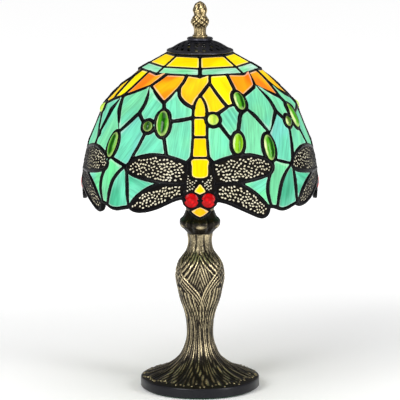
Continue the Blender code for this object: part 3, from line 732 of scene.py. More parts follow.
LEAF_RIGHT = curve([LEAF_TOP, (51.8, 120), (52.4, 126), (52.9, 134), (53.3, 142), (54.0, 149.4)])
SCALLOP = curve([(34.3, 149.3), (36.2, 149.2), (38.2, 149.9), (39.9, 151.0), (42.8, 152.8),
                 (46.4, 152.8), (50, 151.3), (54.3, 149.6)], 3)
CROSS, FORK = (-16.5, 41.5), (8, 36.5)
PETAL_TIPS = [(-42, 42), (-24, 58), (-4.0, 62), (17.5, 61.5), (27.7, 43.5), (48, 42)]
EDGE_LEFT, EDGE_JOINT = (-38.6, 70), (-49.3, 87)
# Rows of the two top rings, in mm down the skin.
CROWN_TOP, CROWN_FOOT, BAND_FOOT = 0.9, 18.0, 28.0


def both_sides(half_width, path):
    """A line and its mirror image."""
    return [(half_width, path), (half_width, mirrored(path))]


def quarter_lines(quarter):
    """The solder lines of one quarter: (half width in mm, places). Width 0 only cuts glass."""
    tip_left, tip_a, tip_b, tip_c, saddle, tip_next = PETAL_TIPS
    cabochons = cabochons_of(quarter)

    def cut(name, clock):
        return clock_place(cabochons[name], clock)
    edge_joint = turned([EDGE_JOINT], QUARTER)[0]
    level = range(-45, 46, 5)
    eye = [(EYE[0] + math.sin(c) * EYE[2] / degree_mm(EYE[1]), EYE[1] - math.cos(c) * EYE[2])
           for c in (2 * math.pi * k / 24 for k in range(25))]
    cheek = curve([(4.6, 106), WAIST, WING_ROOT, NECK], 3)
    petals = [
        [(-35, 28), tip_left, tip_a], curve([(-13, 28), (-14.2, 35), CROSS], 3), [CROSS, tip_a],
        curve([CROSS, (-15.0, 50), (-9.5, 57.5), tip_b], 3), [(9, 28), FORK],
        curve([FORK, (4.0, 42.5), TAIL_TIP], 3), curve([FORK, (12.5, 48), tip_c], 3),
        [tip_c, cut("round_right", 35)], [cut("round_right", -50), (4.0, 67.5)],
        [(28, 28), saddle, cut("upper_right", -5)], [tip_c, cut("upper_right", -110)],
        [tip_next, cut("upper_right", 65)],
    ]
    background = [
        [tip_a, cut("tall_left", 0)], curve([(-4.1, 71.5), (-9.5, 73.2), cut("tall_left", 85)], 3),
        curve([tip_left, (-39.5, 50), (-37.8, 60), EDGE_LEFT], 3),
        [EDGE_LEFT, cut("round_left", -60)], [EDGE_LEFT, EDGE_JOINT],
        [cut("round_left", 90), cut("tall_left", 250)],
        [cut("round_left", 195), (-33.8, 99), (-37.0, 112.6)],
        [cut("tall_left", 178), (-19.3, 91), (-17.0, 105)],
        curve([cut("upper_right", 140), (34.5, 73), edge_joint], 3),
        [edge_joint, cut("tall_right", 0)],
        [cut("upper_right", 178), (24.3, 70), cut("middle_right", 0)],
        [cut("round_right", 125), (16.5, 90), cut("middle_right", -75)],
        [cut("round_right", 235), (4.0, 76)], [cut("middle_right", 180), (20.9, 105.6)],
        [cut("tall_right", 180), (38.5, 115.5)],
        [cut("tall_right", 150), LEAF_TOP, turned([(-38.5, 115.5)], QUARTER)[0]],
        LEAF_LEFT, LEAF_MIDDLE, LEAF_RIGHT,
    ]
    lines = [
        (RIM, [(a, CROWN_TOP) for a in level]), (1.25, [(a, CROWN_FOOT) for a in level]),
        (1.35, [(a, BAND_FOOT) for a in level]),
        (1.3, [(0, CROWN_TOP), (0, BAND_FOOT)]), (1.3, [(45, CROWN_TOP), (45, BAND_FOOT)]),
        *((CAME, path) for path in petals + background), (RIM, SCALLOP),
        (CAME, [(0, BAND_FOOT - 9), (0, BAND_FOOT)]),
        *both_sides(1.45, TAIL_RIGHT), *both_sides(1.1, THORAX), (0.9, FACE + FACE[:1]),
        *both_sides(1.15, BEAK), *both_sides(1.1, eye), (CAME, WING_TOP), (CAME, WING_END),
        (CAME, mirrored(WING_TOP)), (CAME, mirrored(WING_END)), (CAME, LOWER_TOP_RIGHT),
        (CAME, LOWER_TOP_LEFT), (RIM, LOWER_END_RIGHT), (RIM, LOWER_END_LEFT),
        *both_sides(1.1, cheek), (CAME, [(4.3, 105.5), (6.6, 110)]),
        (CAME, [(-4.3, 105.5), (-6.6, 110)]), *both_sides(1.9, [WING_ROOT, (17.8, 127.4)]),
        (RIM, [NECK, (8.0, 140.6), (6.6, 142.5)]),
        (RIM, [(-NECK[0], NECK[1]), (-8.0, 138.6), (-6.8, 140.8)]),
        (1.2, [(-2, EYE[1]), (2, EYE[1])]),
        (0, [(0, 123.2), (0, 125.8)]), (0, [(0, 136.6), (0, EYE[1])]),
    ]
    lines += [(FINE, [(-a, d), (a, d)]) for d, a in TAIL_JOINTS]
    lines += [(RING, ring(cabochon)) for cabochon in cabochons.values()]
    return lines


# Colours of the glass.
TINTS = {
    "lemon": (1.0, 0.80, 0.0), "yellow": (1.0, 0.66, 0.0), "gold": (1.0, 0.46, 0.004),
    "amber": (1.0, 0.36, 0.008), "flame": (0.92, 0.17, 0.006), "sun": (1.0, 0.60, 0.0),
    "mint": (0.22, 0.78, 0.42), "turquoise": (0.17, 0.72, 0.47), "aqua": (0.20, 0.68, 0.58),
    "sea": (0.05, 0.47, 0.25), "spring": (0.17, 0.86, 0.34), "pale": (0.54, 0.90, 0.70),
    "cream": (0.90, 0.84, 0.62), "ivory": (0.72, 0.64, 0.42),
    "bottle": (0.07, 0.36, 0.008), "forest": (0.07, 0.18, 0.01), "lime": (0.58, 0.78, 0.08),
    "apple": (0.26, 0.58, 0.01), "deep_green": (0.004, 0.06, 0.002),
    "dark_lime": (0.35, 0.55, 0.05), "deep_apple": (0.12, 0.34, 0.0),
}

# Panes by a place inside each: place, tint, second tint, lean of the streaks in degrees.
RING_PANES = {
    "crown_left": ((-22.5, 9), "lemon", "yellow", 80),
    "crown_right": ((22.5, 9), "lemon", "sun", 70),
}
BAND_PANES = {
    "band_left": ((-22.5, 23), "pale", "spring", 85),
    "band_right": ((22.5, 23), "pale", "mint", 80),
}
PETAL_PANES = {
    "petal_left": ((-28, 42), "gold", "flame", 32),
    "petal_middle": ((-6, 42), "yellow", "gold", 8),
    "petal_right": ((19, 42), "lemon", "yellow", -12),
    "petal_diamond": ((9, 56), "yellow", "sun", 0),
    "petal_tall": ((38, 38), "amber", "flame", 10),
}
BACKGROUND_PANES = {
    "pane_tall_right": ((41, 66), "mint", "turquoise", 24),
    "pane_upper_left": ((-32, 62), "mint", "turquoise", 14),
    "pane_under_petals": ((-12, 62), "mint", "turquoise", -8),
    "pane_tail_left": ((-11, 90), "mint", "turquoise", 5),
    "pane_over_wing": ((-25, 98), "turquoise", "mint", 32),
    "pane_left": ((-42, 90), "turquoise", "aqua", 30),
    "pane_over_right_wing": ((29, 88), "mint", "turquoise", 12),
    "pane_hexagon": ((18, 74), "turquoise", "mint", -22),
    "pane_tail_right": ((9, 95), "mint", "turquoise", 6),
    "gap_right": ((30, 132), "turquoise", "spring", 62),
    "gap_left": ((-30, 132), "turquoise", "sea", -65),
    "leaf_left": ((38.5, 132), "spring", "mint", 6),
    "leaf_right": ((48, 135), "turquoise", "sea", 12),
}
TAIL_PANES = {
    "tail_tip": ((0, 62), "sun", "yellow", 0),
    "tail_upper": ((0, 80), "yellow", "sun", 0),
    "tail_lower": ((0, 96), "sun", "yellow", 0),
    "thorax": ((0, 113), "yellow", "sun", 0),
    "face": ((0, 131), "yellow", "sun", 0),
    "beak": ((0, 150), "gold", "sun", 0),
}
WING_PANES = {
    "upper_right": ((22, 115), "cream", "ivory", 90),
    "upper_left": ((-22, 115), "cream", "ivory", 90),
    "lower_right": ((20, 138), "cream", "ivory", 70),
    "lower_left": ((-20, 138), "cream", "ivory", -70),
    "saddle_right": ((5.5, 124), "cream", "ivory", 0),
    "saddle_left": ((-5.5, 124), "cream", "ivory", 0),
}
SPREAD = 1.5                  # mm of the flat cutting plan to one degree
OVERRUN = 0.8                 # mm that a line is run on past its ends, so that it meets the next
SOLDER_LAYERS = ((1.6, 1.0), (3.4, 0.9))   # depth in mm and share of the width, outside and inside
SOLDER_STEP = 2.5             # mm between the places that a line is laid through


def cut_outlines(lines):
    """Cuts the flat plan along the solder lines: its corners, triangles and their regions."""
    corners, edges = [], []
    for _, path in lines:
        first = len(corners)
        flat = [Vector((a * SPREAD, d)) for a, d in path]
        if (flat[0] - flat[-1]).length > OVERRUN:
            flat[0] += (flat[0] - flat[1]).normalized() * OVERRUN
            flat[-1] += (flat[-1] - flat[-2]).normalized() * OVERRUN
        corners += flat
        edges += [(first + k, first + k + 1) for k in range(len(flat) - 1)]
    spots, found, triangles, _, sources, _ = delaunay_2d_cdt(corners, edges, [], 0, 0.02)
    walls = {tuple(sorted(e)) for e, source in zip(found, sources) if source}
    sides = {}
    for t, tri in enumerate(triangles):
        for k in range(3):
            sides.setdefault(tuple(sorted((tri[k], tri[k - 1]))), []).append(t)
    region = list(range(len(triangles)))

    def root(t):
        while region[t] != t:
            region[t] = region[region[t]]
            t = region[t]
        return t
    for side, pair in sides.items():
        if side not in walls and len(pair) == 2:
            region[root(pair[0])] = root(pair[1])
    return spots, triangles, [root(t) for t in range(len(triangles))]


def open_sides(triangles):
    """The sides that only one triangle has, each running the way that its triangle does."""
    sides = set()
    for tri in triangles:
        for k in range(len(tri)):
            a, b = tri[k - 1], tri[k]
            if (b, a) in sides:
                sides.remove((b, a))
            else:
                sides.add((a, b))
    return sides


def outline_round(place, plan):
    """The outline of the pane that holds a place, as places on the skin."""
    spots, triangles, regions = plan
    p = Vector((place[0] * SPREAD, place[1]))
    wanted = None
    for tri, r in zip(triangles, regions):
        a, b, c = (spots[i] for i in tri)
        turns = [(v - u).cross(p - u) for u, v in ((a, b), (b, c), (c, a))]
        if min(turns) >= 0 or max(turns) <= 0:
            wanted = r
            break
    following = {}
    for a, b in open_sides([tri for tri, r in zip(triangles, regions) if r == wanted]):
        following.setdefault(a, []).append(b)
    loops = []
    while following:
        start = next(iter(following))
        loop, here = [], start
        while here in following:
            loop.append(here)
            onward = following[here].pop()
            if not following[here]:
                del following[here]
            here = onward
        loops.append(loop)
    return [(spots[i].x / SPREAD, spots[i].y) for i in max(loops, key=len)]


def flat_plan(outline):
    """An outline in mm on a plane that suits its middle, and the way back to the skin."""
    middle = sum(d for _, d in outline) / len(outline)
    scale = degree_mm(middle)
    return [Vector((a * scale, d)) for a, d in outline], scale


def edge_distance(p, border):
    """How far a point is from the nearest side of an outline."""
    best = 1e9
    for a, b in zip(border, border[1:] + border[:1]):
        run = b - a
        t = min(max((p - a).dot(run) / max(run.length_squared, 1e-9), 0.0), 1.0)
        best = min(best, (p - a - run * t).length)
    return best


def is_within(p, border):
    """Whether a point lies inside an outline."""
    crossings = 0
    for a, b in zip(border, border[1:] + border[:1]):
        if (a.y > p.y) != (b.y > p.y) and p.x < a.x + (b.x - a.x) * (p.y - a.y) / (b.y - a.y):
            crossings += 1
    return crossings % 2 == 1


def moved_in(border, amount):
    """The corners of an outline moved inwards by amount mm, where that still fits."""
    area = sum(a.cross(b) for a, b in zip(border, border[1:] + border[:1]))
    inward = math.copysign(1, area)
    kept = []
    for i, p in enumerate(border):
        into = (p - border[i - 1]).normalized()
        on = (border[(i + 1) % len(border)] - p).normalized()
        left = Vector((-into.y, into.x))
        way = (left + Vector((-on.y, on.x)))
        if way.length < 1e-6:
            continue
        way.normalize()
        q = p + way * inward * amount / max(way.dot(left), 0.5)
        if is_within(q, border) and edge_distance(q, border) > 0.9 * amount:
            kept.append(q)
    return kept


GLASS_TOP, GLASS_FOOT = 1.3, 3.5      # depths of a pane's two faces
EDGE_LIGHT = 2.7                      # how far in from a came's middle the painted pale edge highlight reaches, mm
FINE_EDGE_LIGHT = 1.8                 # the same for the small panes between thin lines
BENT_STEP = 4.0                       # a bent pane bends at least this often, mm
FLATNESS = 0.82                       # share of the skin's bend that a flat-cut pane loses


def pane_plan(outline, bent=False, edge_light=EDGE_LIGHT):
    """The corners, triangles, border sides and edge nearness of a pane."""
    border, scale = flat_plan(outline)
    rim = moved_in(border, 0.35)
    if len(rim) < 3:
        rim = border
    inner = moved_in(border, edge_light)
    if bent:
        xs, ys = ([p[axis] for p in border] for axis in (0, 1))
        grid = [Vector((x, y)) for x in np.arange(min(xs), max(xs), BENT_STEP)
                for y in np.arange(min(ys), max(ys), BENT_STEP)]
        inner += [p for p in grid if is_within(p, border)
                  and edge_distance(p, border) > edge_light + 1]
    sides = [(k, (k + 1) % len(rim)) for k in range(len(rim))]
    spots, _, triangles, *_ = delaunay_2d_cdt(rim + inner, sides, [list(range(len(rim)))], 1, 0.01)
    nearness = [max(0.0, 1 - edge_distance(p, border) / edge_light) for p in spots]
    return [(p.x / scale, p.y) for p in spots], triangles, open_sides(triangles), nearness


def glass_layers(bm):
    """What each corner of glass knows: its lay, its two tints and how near the edge it is."""
    layers = bm.verts.layers
    return [kind.get(name) or kind.new(name) for kind, name in (
        (layers.float_vector, "lay"), (layers.float_color, "tint"),
        (layers.float_color, "second_tint"), (layers.float, "edge"))]


def add_panes(bm, plans, looks, quarter, rng, flatness=FLATNESS):
    """Adds the panes of one quarter to a bmesh as flat-cut sheets of glass."""
    lay, tint, second, edge = glass_layers(bm)
    for name, (_, main, other, lean) in looks.items():
        places, triangles, sides, nearness = plans[name]
        places = turned(places, quarter * QUARTER)
        top = np.array([on_skin(a, d, GLASS_TOP) for a, d in places])
        foot = np.array([on_skin(a, d, GLASS_FOOT) for a, d in places])
        middle = top.mean(0)
        out_way = np.linalg.svd(top - middle)[2][2]
        out_way *= np.sign(out_way @ (top - foot).sum(0))
        for face in (top, foot):
            rise = (face - face.mean(0)) @ out_way
            face -= flatness * rise[:, None] * out_way
        across = np.cross((0, 0, 1), out_way)
        across /= np.linalg.norm(across)
        up = np.cross(out_way, across)
        t = math.radians(lean)
        streak_x = across * math.cos(t) - up * math.sin(t)
        streak_y = across * math.sin(t) + up * math.cos(t)
        shift = Vector((rng.uniform(0, 200), rng.uniform(0, 200), rng.uniform(0, 50)))
        strength = rng.uniform(0.92, 1.06)
        colors = [Vector((*(c * strength for c in TINTS[x]), 1.0)) for x in (main, other)]
        faces = []
        for side in (top, foot):
            verts = []
            for p, near in zip(side, nearness):
                v = bm.verts.new(p)
                flat = p - middle
                v[lay] = Vector((flat @ streak_x, flat @ streak_y, 0)) / MM + shift
                v[tint], v[second] = colors
                v[edge] = near
                verts.append(v)
            faces.append(verts)
        for tri in triangles:
            bm.faces.new([faces[0][i] for i in tri])
            bm.faces.new([faces[1][i] for i in reversed(tri)])
        for a, b in sides:
            bm.faces.new([faces[0][b], faces[0][a], faces[1][a], faces[1][b]])


def glaze(name, plans, looks, quarter, mat, slot, *stands_for, flatness=FLATNESS):
    """The panes of one kind in one quarter, as a piece of the shade."""
    bm = bmesh.new()
    add_panes(bm, plans, looks, quarter, random.Random(f"{name} {quarter}"), flatness)
    return fit(mesh_object(name, bm, mat, 30), "shade", slot, *stands_for)


def glaze_rings(plans):
    """The two flat-sided rings at the top, all round."""
    for name, looks, mat, slot, node_name in (
            ("crown_panes", RING_PANES, "flame_glass", "yellow_glass", "crown_glass_ring"),
            ("band_panes", BAND_PANES, "sheet_glass", "mint_glass", "band_glass_ring")):
        bm = bmesh.new()
        for quarter in range(QUARTERS):
            add_panes(bm, plans, looks, quarter, random.Random(quarter + 40), 1.0)
        fit(mesh_object(name, bm, FINISH[mat], 30), "shade", slot, node_name)


def run_solder():
    """The patinated solder between all panes, inside and outside, one skin to a quarter."""
    for quarter in range(QUARTERS):
        verts, edges, widths = [], [], []
        for depth, thin in SOLDER_LAYERS:
            for half_width, path in quarter_lines(quarter):
                if not half_width:
                    continue
                path = turned(path, quarter * QUARTER)
                fine = []
                for (a0, d0), (a1, d1) in zip(path, path[1:]):
                    steps = max(1, round(math.hypot((a1 - a0) * SPREAD, d1 - d0) / SOLDER_STEP))
                    fine += [(a0 + (a1 - a0) * k / steps, d0 + (d1 - d0) * k / steps)
                             for k in range(steps)]
                fine.append(path[-1])
                first = len(verts)
                verts += [on_skin(a, d, max(depth, half_width)) for a, d in fine]
                edges += [(first + k, first + k + 1) for k in range(len(fine) - 1)]
                widths += [half_width * thin * MM] * len(fine)
        mesh = bpy.data.meshes.new("solder_lines")
        mesh.from_pydata(verts, edges, [])
        mesh.attributes.new("bead", 'FLOAT', 'POINT').data.foreach_set("value", widths)
        obj = grow(f"solder_lattice_{quarter + 1}", TREES["solder"], mesh,
                   finish=FINISH["solder"])
        rings = ("upper_solder_ring", "lower_solder_ring", "rim_solder_bead")
        fit(obj, "shade", "black_solder", *(rings if quarter == 0 else ()))


# ---- wings, cabochons and eyes ----

PIERCING = {                  # sizes in mm; no hole is nearer the outline than the border
    "wing": {"spacing": 2.3, "border": 2.3, "length": 1.38, "width": 0.78, "thickness": 0.35},
    "saddle": {"spacing": 1.8, "border": 1.6, "length": 0.85, "width": 0.65, "thickness": 0.35},
}
FILIGREE_LIE = {"upper_right": 0.1, "upper_left": -0.1, "lower_right": -0.55, "lower_left": 0.5,
                "saddle_right": 0.6, "saddle_left": -0.6}


def lay_filigree(outlines, quarter):
    """The pierced metal overlay on the four wings and round the thorax of one dragonfly."""
    parts = bmesh.new()
    for n, (name, outline) in enumerate(outlines.items()):
        border, scale = flat_plan(outline)
        mesh = bpy.data.meshes.new("blank")
        flat = bmesh.new()
        flat.faces.new([flat.verts.new((p.x * MM, -p.y * MM, 0)) for p in border])
        bmesh.ops.recalc_face_normals(flat, faces=flat.faces)
        flat.to_mesh(mesh)
        flat.free()
        holes = PIERCING["saddle" if name.startswith("saddle") else "wing"]
        blank = grow("filigree_blank", TREES["filigree"], mesh, lie=FILIGREE_LIE[name],
                     seed=quarter * 10 + n, finish=FINISH["filigree"],
                     **{key: value * MM for key, value in holes.items()})
        for v in blank.data.vertices:
            depth = GLASS_TOP - 0.05 - v.co.z / MM
            v.co = on_skin(v.co.x / MM / scale + quarter * QUARTER, -v.co.y / MM, depth)
        parts.from_mesh(blank.data)
        bpy.data.objects.remove(blank)
    obj = mesh_object(f"filigree_{quarter + 1}", parts, FINISH["filigree"], 35)
    fit(obj, "shade", "filigree_glass")


def add_dome(bm, angle, down, half_height, half_width, lean, rise, depth, colors=()):
    """A polished drop of glass set in the shade, domed outside and flat inside."""
    lay, tint, second, edge = glass_layers(bm)
    centre = on_skin(angle, down, depth)
    out_way = (on_skin(angle, down, 0) - on_skin(angle, down, 4)).normalized()
    across = Vector((0, 0, 1)).cross(out_way).normalized()
    up = out_way.cross(across)
    t = math.radians(lean)
    x_way = across * math.cos(t) - up * math.sin(t)
    y_way = across * math.sin(t) + up * math.cos(t)
    rows, sides = 7, 28

    def place(spread, height, k):
        c = 2 * math.pi * k / sides
        x, y = math.sin(c) * spread, math.cos(c) * spread
        v = bm.verts.new(centre + (x_way * x * half_width + y_way * y * half_height
                                   + out_way * height) * MM)
        v[lay] = Vector((x, y, height / rise))
        v[edge] = spread
        if colors:
            v[tint], v[second] = (Vector((*TINTS[c], 1)) for c in colors)
        return v
    rings = [[place(0.96, -1.6, k) for k in range(sides)]]
    for q in (math.pi / 2 * row / rows for row in range(rows)):
        rings.append([place(math.cos(q), math.sin(q) * rise, k) for k in range(sides)])
    bm.faces.new(rings[0])
    for a, b in zip(rings, rings[1:]):
        for k in range(sides):
            bm.faces.new([a[k - 1], a[k], b[k], b[k - 1]])
    peak = place(0.0, rise, 0)
    for k in range(sides):
        bm.faces.new([rings[-1][k - 1], rings[-1][k], peak])


CORE_OF = {"bottle": "deep_green", "forest": "deep_green", "lime": "dark_lime",
           "apple": "deep_apple"}


def set_cabochons(quarter):
    """The green cabochons and the red eyes of one quarter, each a little under its ring."""
    turn = quarter * QUARTER
    green, red = bmesh.new(), bmesh.new()
    for angle, down, half_height, half_width, lean, color in cabochons_of(quarter).values():
        if color:
            add_dome(green, angle + turn, down, half_height + 0.3, half_width + 0.3, lean,
                     3.2, 1.6, (color, CORE_OF[color]))
    for side in (-1, 1):
        add_dome(red, side * EYE[0] + turn, EYE[1], EYE[2] - 0.4, EYE[2] - 0.4, 0, 2.2, 2.1)
    for name, bm, mat, slot in (("green_cabochons", green, "cabochon", "mint_glass"),
                                ("red_eyes", red, "eye", "gold_glass")):
        fit(mesh_object(f"{name}_{quarter + 1}", bm, FINISH[mat], 60), "shade", slot)


def cut_quarter(quarter):
    """The outlines and the cut glass of one quarter, with its neighbours' lines beside it."""
    plan = cut_outlines([(w, turned(path, n * QUARTER)) for n in (-1, 0, 1)
                         for w, path in quarter_lines(quarter + n)])
    every = {**RING_PANES, **BAND_PANES, **PETAL_PANES, **BACKGROUND_PANES, **TAIL_PANES,
             **WING_PANES}
    outlines = {name: outline_round(look[0], plan) for name, look in every.items()}
    plans = {name: pane_plan(outline, name in WING_PANES,
                             FINE_EDGE_LIGHT if name in TAIL_PANES else EDGE_LIGHT)
             for name, outline in outlines.items()}
    return {name: outlines[name] for name in WING_PANES}, plans


def build_shade():
    """Glass, filigree, cabochons and eyes of each quarter, then the solder between them."""
    for q in range(QUARTERS):
        n = q + 1
        wings, plans = cut_quarter(q)
        if q == 0:
            glaze_rings(plans)
        glaze(f"petal_panes_{n}", plans, PETAL_PANES, q, FINISH["flame_glass"], "gold_glass",
              f"petal_panel_{n}")
        glaze(f"background_panes_{n}", plans, BACKGROUND_PANES, q, FINISH["sheet_glass"],
              "mint_glass", f"field_panel_{n}")
        glaze(f"dragonfly_glass_{n}", plans, TAIL_PANES, q, FINISH["flame_glass"], "gold_glass",
              f"dragonfly_body_{n}")
        glaze(f"wing_glass_{n}", plans, WING_PANES, q, FINISH["wing_glass"], "filigree_glass",
              *(f"{level}_wing_{side}_{n}" for level in ("upper", "lower")
                for side in ("left", "right")), flatness=0.0)
        lay_filigree(wings, q)
        set_cabochons(q)
    run_solder()


# ---- turned and cast parts ----

def relief_turn(name, path, sides, mat, carve=None, sharp=35):
    """A closed section of (radius, height) in mm, turned about the lamp's axis.

    The path runs down the outside and back up the inside. carve(angle, radius, height) gives how
    far each place stands out along the surface, and how worn it is from 0 to 1."""
    path = np.array(path, float)
    angle = np.linspace(0, 2 * math.pi, sides, endpoint=False)[None, :]
    before, after = np.roll(path, 1, 0), np.roll(path, -1, 0)
    normal = np.stack([before[:, 1] - after[:, 1], after[:, 0] - before[:, 0]], 1)
    normal /= np.maximum(np.linalg.norm(normal, axis=1, keepdims=True), 1e-9)
    radius, height = path[:, :1] + 0 * angle, path[:, 1:] + 0 * angle
    worn = np.full(radius.shape, 0.5)
    if carve:
        rise, worn = carve(angle + 0 * radius, radius, height)
        radius = radius + rise * normal[:, :1]
        height = height + rise * normal[:, 1:]
    spots = np.stack([radius * np.sin(angle), -radius * np.cos(angle), height], 2).reshape(-1, 3)
    rows = len(path)
    row, k = (a.ravel() for a in np.meshgrid(np.arange(rows), np.arange(sides), indexing="ij"))
    below, on = (row + 1) % rows, (k + 1) % sides
    flat = (path[row, 0] == 0) & (path[below, 0] == 0)
    quads = np.stack([row * sides + k, row * sides + on, below * sides + on, below * sides + k], 1)
    mesh = bpy.data.meshes.new(name)
    mesh.from_pydata((spots * MM).tolist(), [], quads[~flat].tolist())
    mesh.attributes.new("relief", 'FLOAT', 'POINT').data.foreach_set("value", worn.ravel())
    bm = bmesh.new()
    bm.from_mesh(mesh)
    poles = [v for v in bm.verts if math.hypot(v.co.x, v.co.y) < 1e-7]
    bmesh.ops.remove_doubles(bm, verts=poles, dist=1e-7)
    return mesh_object(name, bm, mat, sharp)


def rounded(points, radius=0.4, steps=3):
    """A closed section with its corners eased by a radius in mm."""
    path = []
    for i, p in enumerate(points):
        p, before, after = (Vector(q) for q in (p, points[i - 1], points[(i + 1) % len(points)]))
        if p.x == 0:
            path.append(tuple(p))
            continue
        reach = min(radius, (before - p).length / 2.2, (after - p).length / 2.2)
        a = p + (before - p).normalized() * reach
        b = p + (after - p).normalized() * reach
        path += [tuple(a.lerp(p, t).lerp(p.lerp(b, t), t)) for t in
                 (k / steps for k in range(steps + 1))]
    return path


def ridges(phase, round_top=0.6):
    """Rounded ridges with narrow valleys, one for each turn of the phase."""
    return np.abs(np.cos(phase / 2)) ** round_top


def ease(x, low, high):
    """Runs smoothly from 0 to 1 between two heights."""
    t = np.clip((x - low) / (high - low), 0, 1)
    return t * t * (3 - 2 * t)


FLANK = curve([(11.0, 135.0), (9.9, 128.0), (11.9, 119.5), (18.9, 109.0), (20.9, 97.0),
               (18.0, 81.0), (12.6, 65.0), (10.8, 50.0), (12.2, 38.7), (18.2, 26.3),
               (30.0, 17.0), (46.0, 11.0)], 22)
FLANK_R, FLANK_Z = np.array(FLANK[::-1]).T
TRUNK_TOP, FOOT_EDGE = 135.0, 9.6     # heights of the trunk's top and of its foot's upright edge
BORE = 5.2                            # radius of the hole that the pipe runs in
CUP_FOOT, CUP_HEIGHT = 135.3, 18.4
BRANCH_SETS = 3               # the winding branches repeat this often round the trunk


def strands():
    """Branches over the trunk's bulge: half width, height in mm, path of (degrees, height).

    Each is also laid in mirror image, and the set repeats round the trunk."""
    crossing = [(-66, 107), (-48, 102), (-31, 96.5), (-14, 89), (-1, 80), (5, 70), (6, 60)]
    made = [(0.85, 1.35 - 0.12 * k, [(a - 2.2 * k, z - 3.1 * k) for a, z in crossing])
            for k in range(4)]
    shoulder = [(-4, 122), (-14, 115), (-27, 108), (-42, 101.5), (-58, 94)]
    made += [(1.5, 1.15, [(a - 5 * k, z + 4.2 * k) for a, z in shoulder]) for k in range(3)]
    made += [(0.8, 1.2, [(-1, 117), (-10, 110.5), (-21, 104.5), (-33, 99)])]
    for top, foot, half_width in ((-36, -22, 1.9), (-47, -33, 1.6), (-58, -45, 1.9),
                                  (-24, -13, 1.2)):
        made.append((half_width, 1.1, [(top, 86), (top + 3, 77), (foot - 2, 67), (foot, 56),
                                       (foot + 1, 46)]))
    return made


def strand_relief(degrees, height):
    """How far the branches stand out at each place."""
    period = 360 / BRANCH_SETS
    local = (degrees + period / 2) % period - period / 2
    around_mm = np.radians(local) * np.interp(height, FLANK_Z, FLANK_R)
    best = np.zeros(height.shape)
    for half_width, tall, path in strands():
        for mirror in (1, -1):
            for shift in (-period, 0, period):
                places = [(mirror * a + 0.16 * (108 - z) + shift,
                           z + 2.2 * mirror * math.sin(math.radians(a * 2.5 + 3 * shift)))
                          for a, z in curve(path, 3)]
                if all(abs(a) > 80 for a, _ in places):
                    continue
                spots = [np.array((math.radians(a) * np.interp(z, FLANK_Z, FLANK_R), z))
                         for a, z in places]
                gap = np.full(height.shape, 1e9)
                for a, b in zip(spots, spots[1:]):
                    run = b - a
                    px, pz = around_mm - a[0], height - a[1]
                    t = np.clip((px * run[0] + pz * run[1]) / (run @ run), 0, 1)
                    gap = np.minimum(gap, np.hypot(px - t * run[0], pz - t * run[1]))
                best = np.maximum(best, tall * np.sqrt(np.clip(1 - (gap / half_width) ** 2, 0, 1)))
    return best


def local_mean(values, rows, columns):
    """The mean over a window of rows and, round the turn, columns."""
    padded = np.pad(values, ((rows, rows), (0, 0)), mode="edge")
    total = sum(padded[k:k + len(values)] for k in range(2 * rows + 1)) / (2 * rows + 1)
    return sum(np.roll(total, k, 1) for k in range(-columns, columns + 1)) / (2 * columns + 1)


def carve_trunk(angle, radius, height):
    """Neck flutes, wound branches on the bulge, ribs down the waist and roots over the foot."""
    degrees = np.degrees(angle)
    sway = 0.6 * np.sin(3 * angle + height / 7) + 0.4 * np.sin(5 * angle - height / 4.3)
    period = 360 / BRANCH_SETS
    from_branch = np.abs((degrees + period / 2) % period - period / 2) * math.pi / 180 * radius
    neck = 0.95 * ridges(9 * angle + 0.3 * sway, 0.6) + 0.12 * ridges(40 * angle + sway)
    bark = 0.75 * ridges(2 * math.pi * (0.44 * from_branch + 0.15 * height) + 0.8 * sway, 0.7)
    branches = strand_relief(degrees, height)
    bulge = np.maximum(bark, branches + 0.35 * bark)
    ribs = (0.8 * ridges(16 * angle + 0.7 * sway, 0.55)
            + 0.4 * ridges(44 * angle + 1.1 * sway + height / 9, 0.8))
    wander = np.sin(2 * angle + radius / 9) + 0.6 * np.sin(7 * angle - radius / 5)
    roots = (0.85 * ridges(22 * angle + 1.9 * wander, 0.55)
             + 0.6 * ridges(61 * angle - 2.6 * wander, 0.7))
    on_neck = ease(height, 116, 124)
    on_waist = 1 - ease(height, 50, 68)
    on_foot = 1 - ease(height, 19, 33)
    rise = bulge * (1 - on_neck) + neck * on_neck
    rise = rise * (1 - on_waist) + np.maximum(ribs, 0.7 * bulge) * on_waist
    rise = rise * (1 - on_foot) + roots * on_foot
    flank = (height > FOOT_EDGE) & (radius > 9.5) & (height < TRUNK_TOP - 0.01)
    fade = ease(height, FOOT_EDGE, 12.5) * (1 - ease(height, 133.2, TRUNK_TOP))
    on_bulge = ease(height, 72, 86) * (1 - on_neck)
    rise = np.where(flank, (rise - 0.6 - 0.55 * on_bulge) * fade, 0.0)
    proud = rise - local_mean(rise, 4, 5)
    # Apart from the relief, the neck and the bark between the bulge's branches are made lighter and
    # the foot darker.
    base = 0.40 + 0.10 * on_bulge * (branches < 0.2) - 0.14 * on_foot + 0.12 * on_neck
    worn = np.where(flank, np.clip(base + 1.0 * proud + 0.08 * rise, 0, 1), 0.0)
    return rise, worn


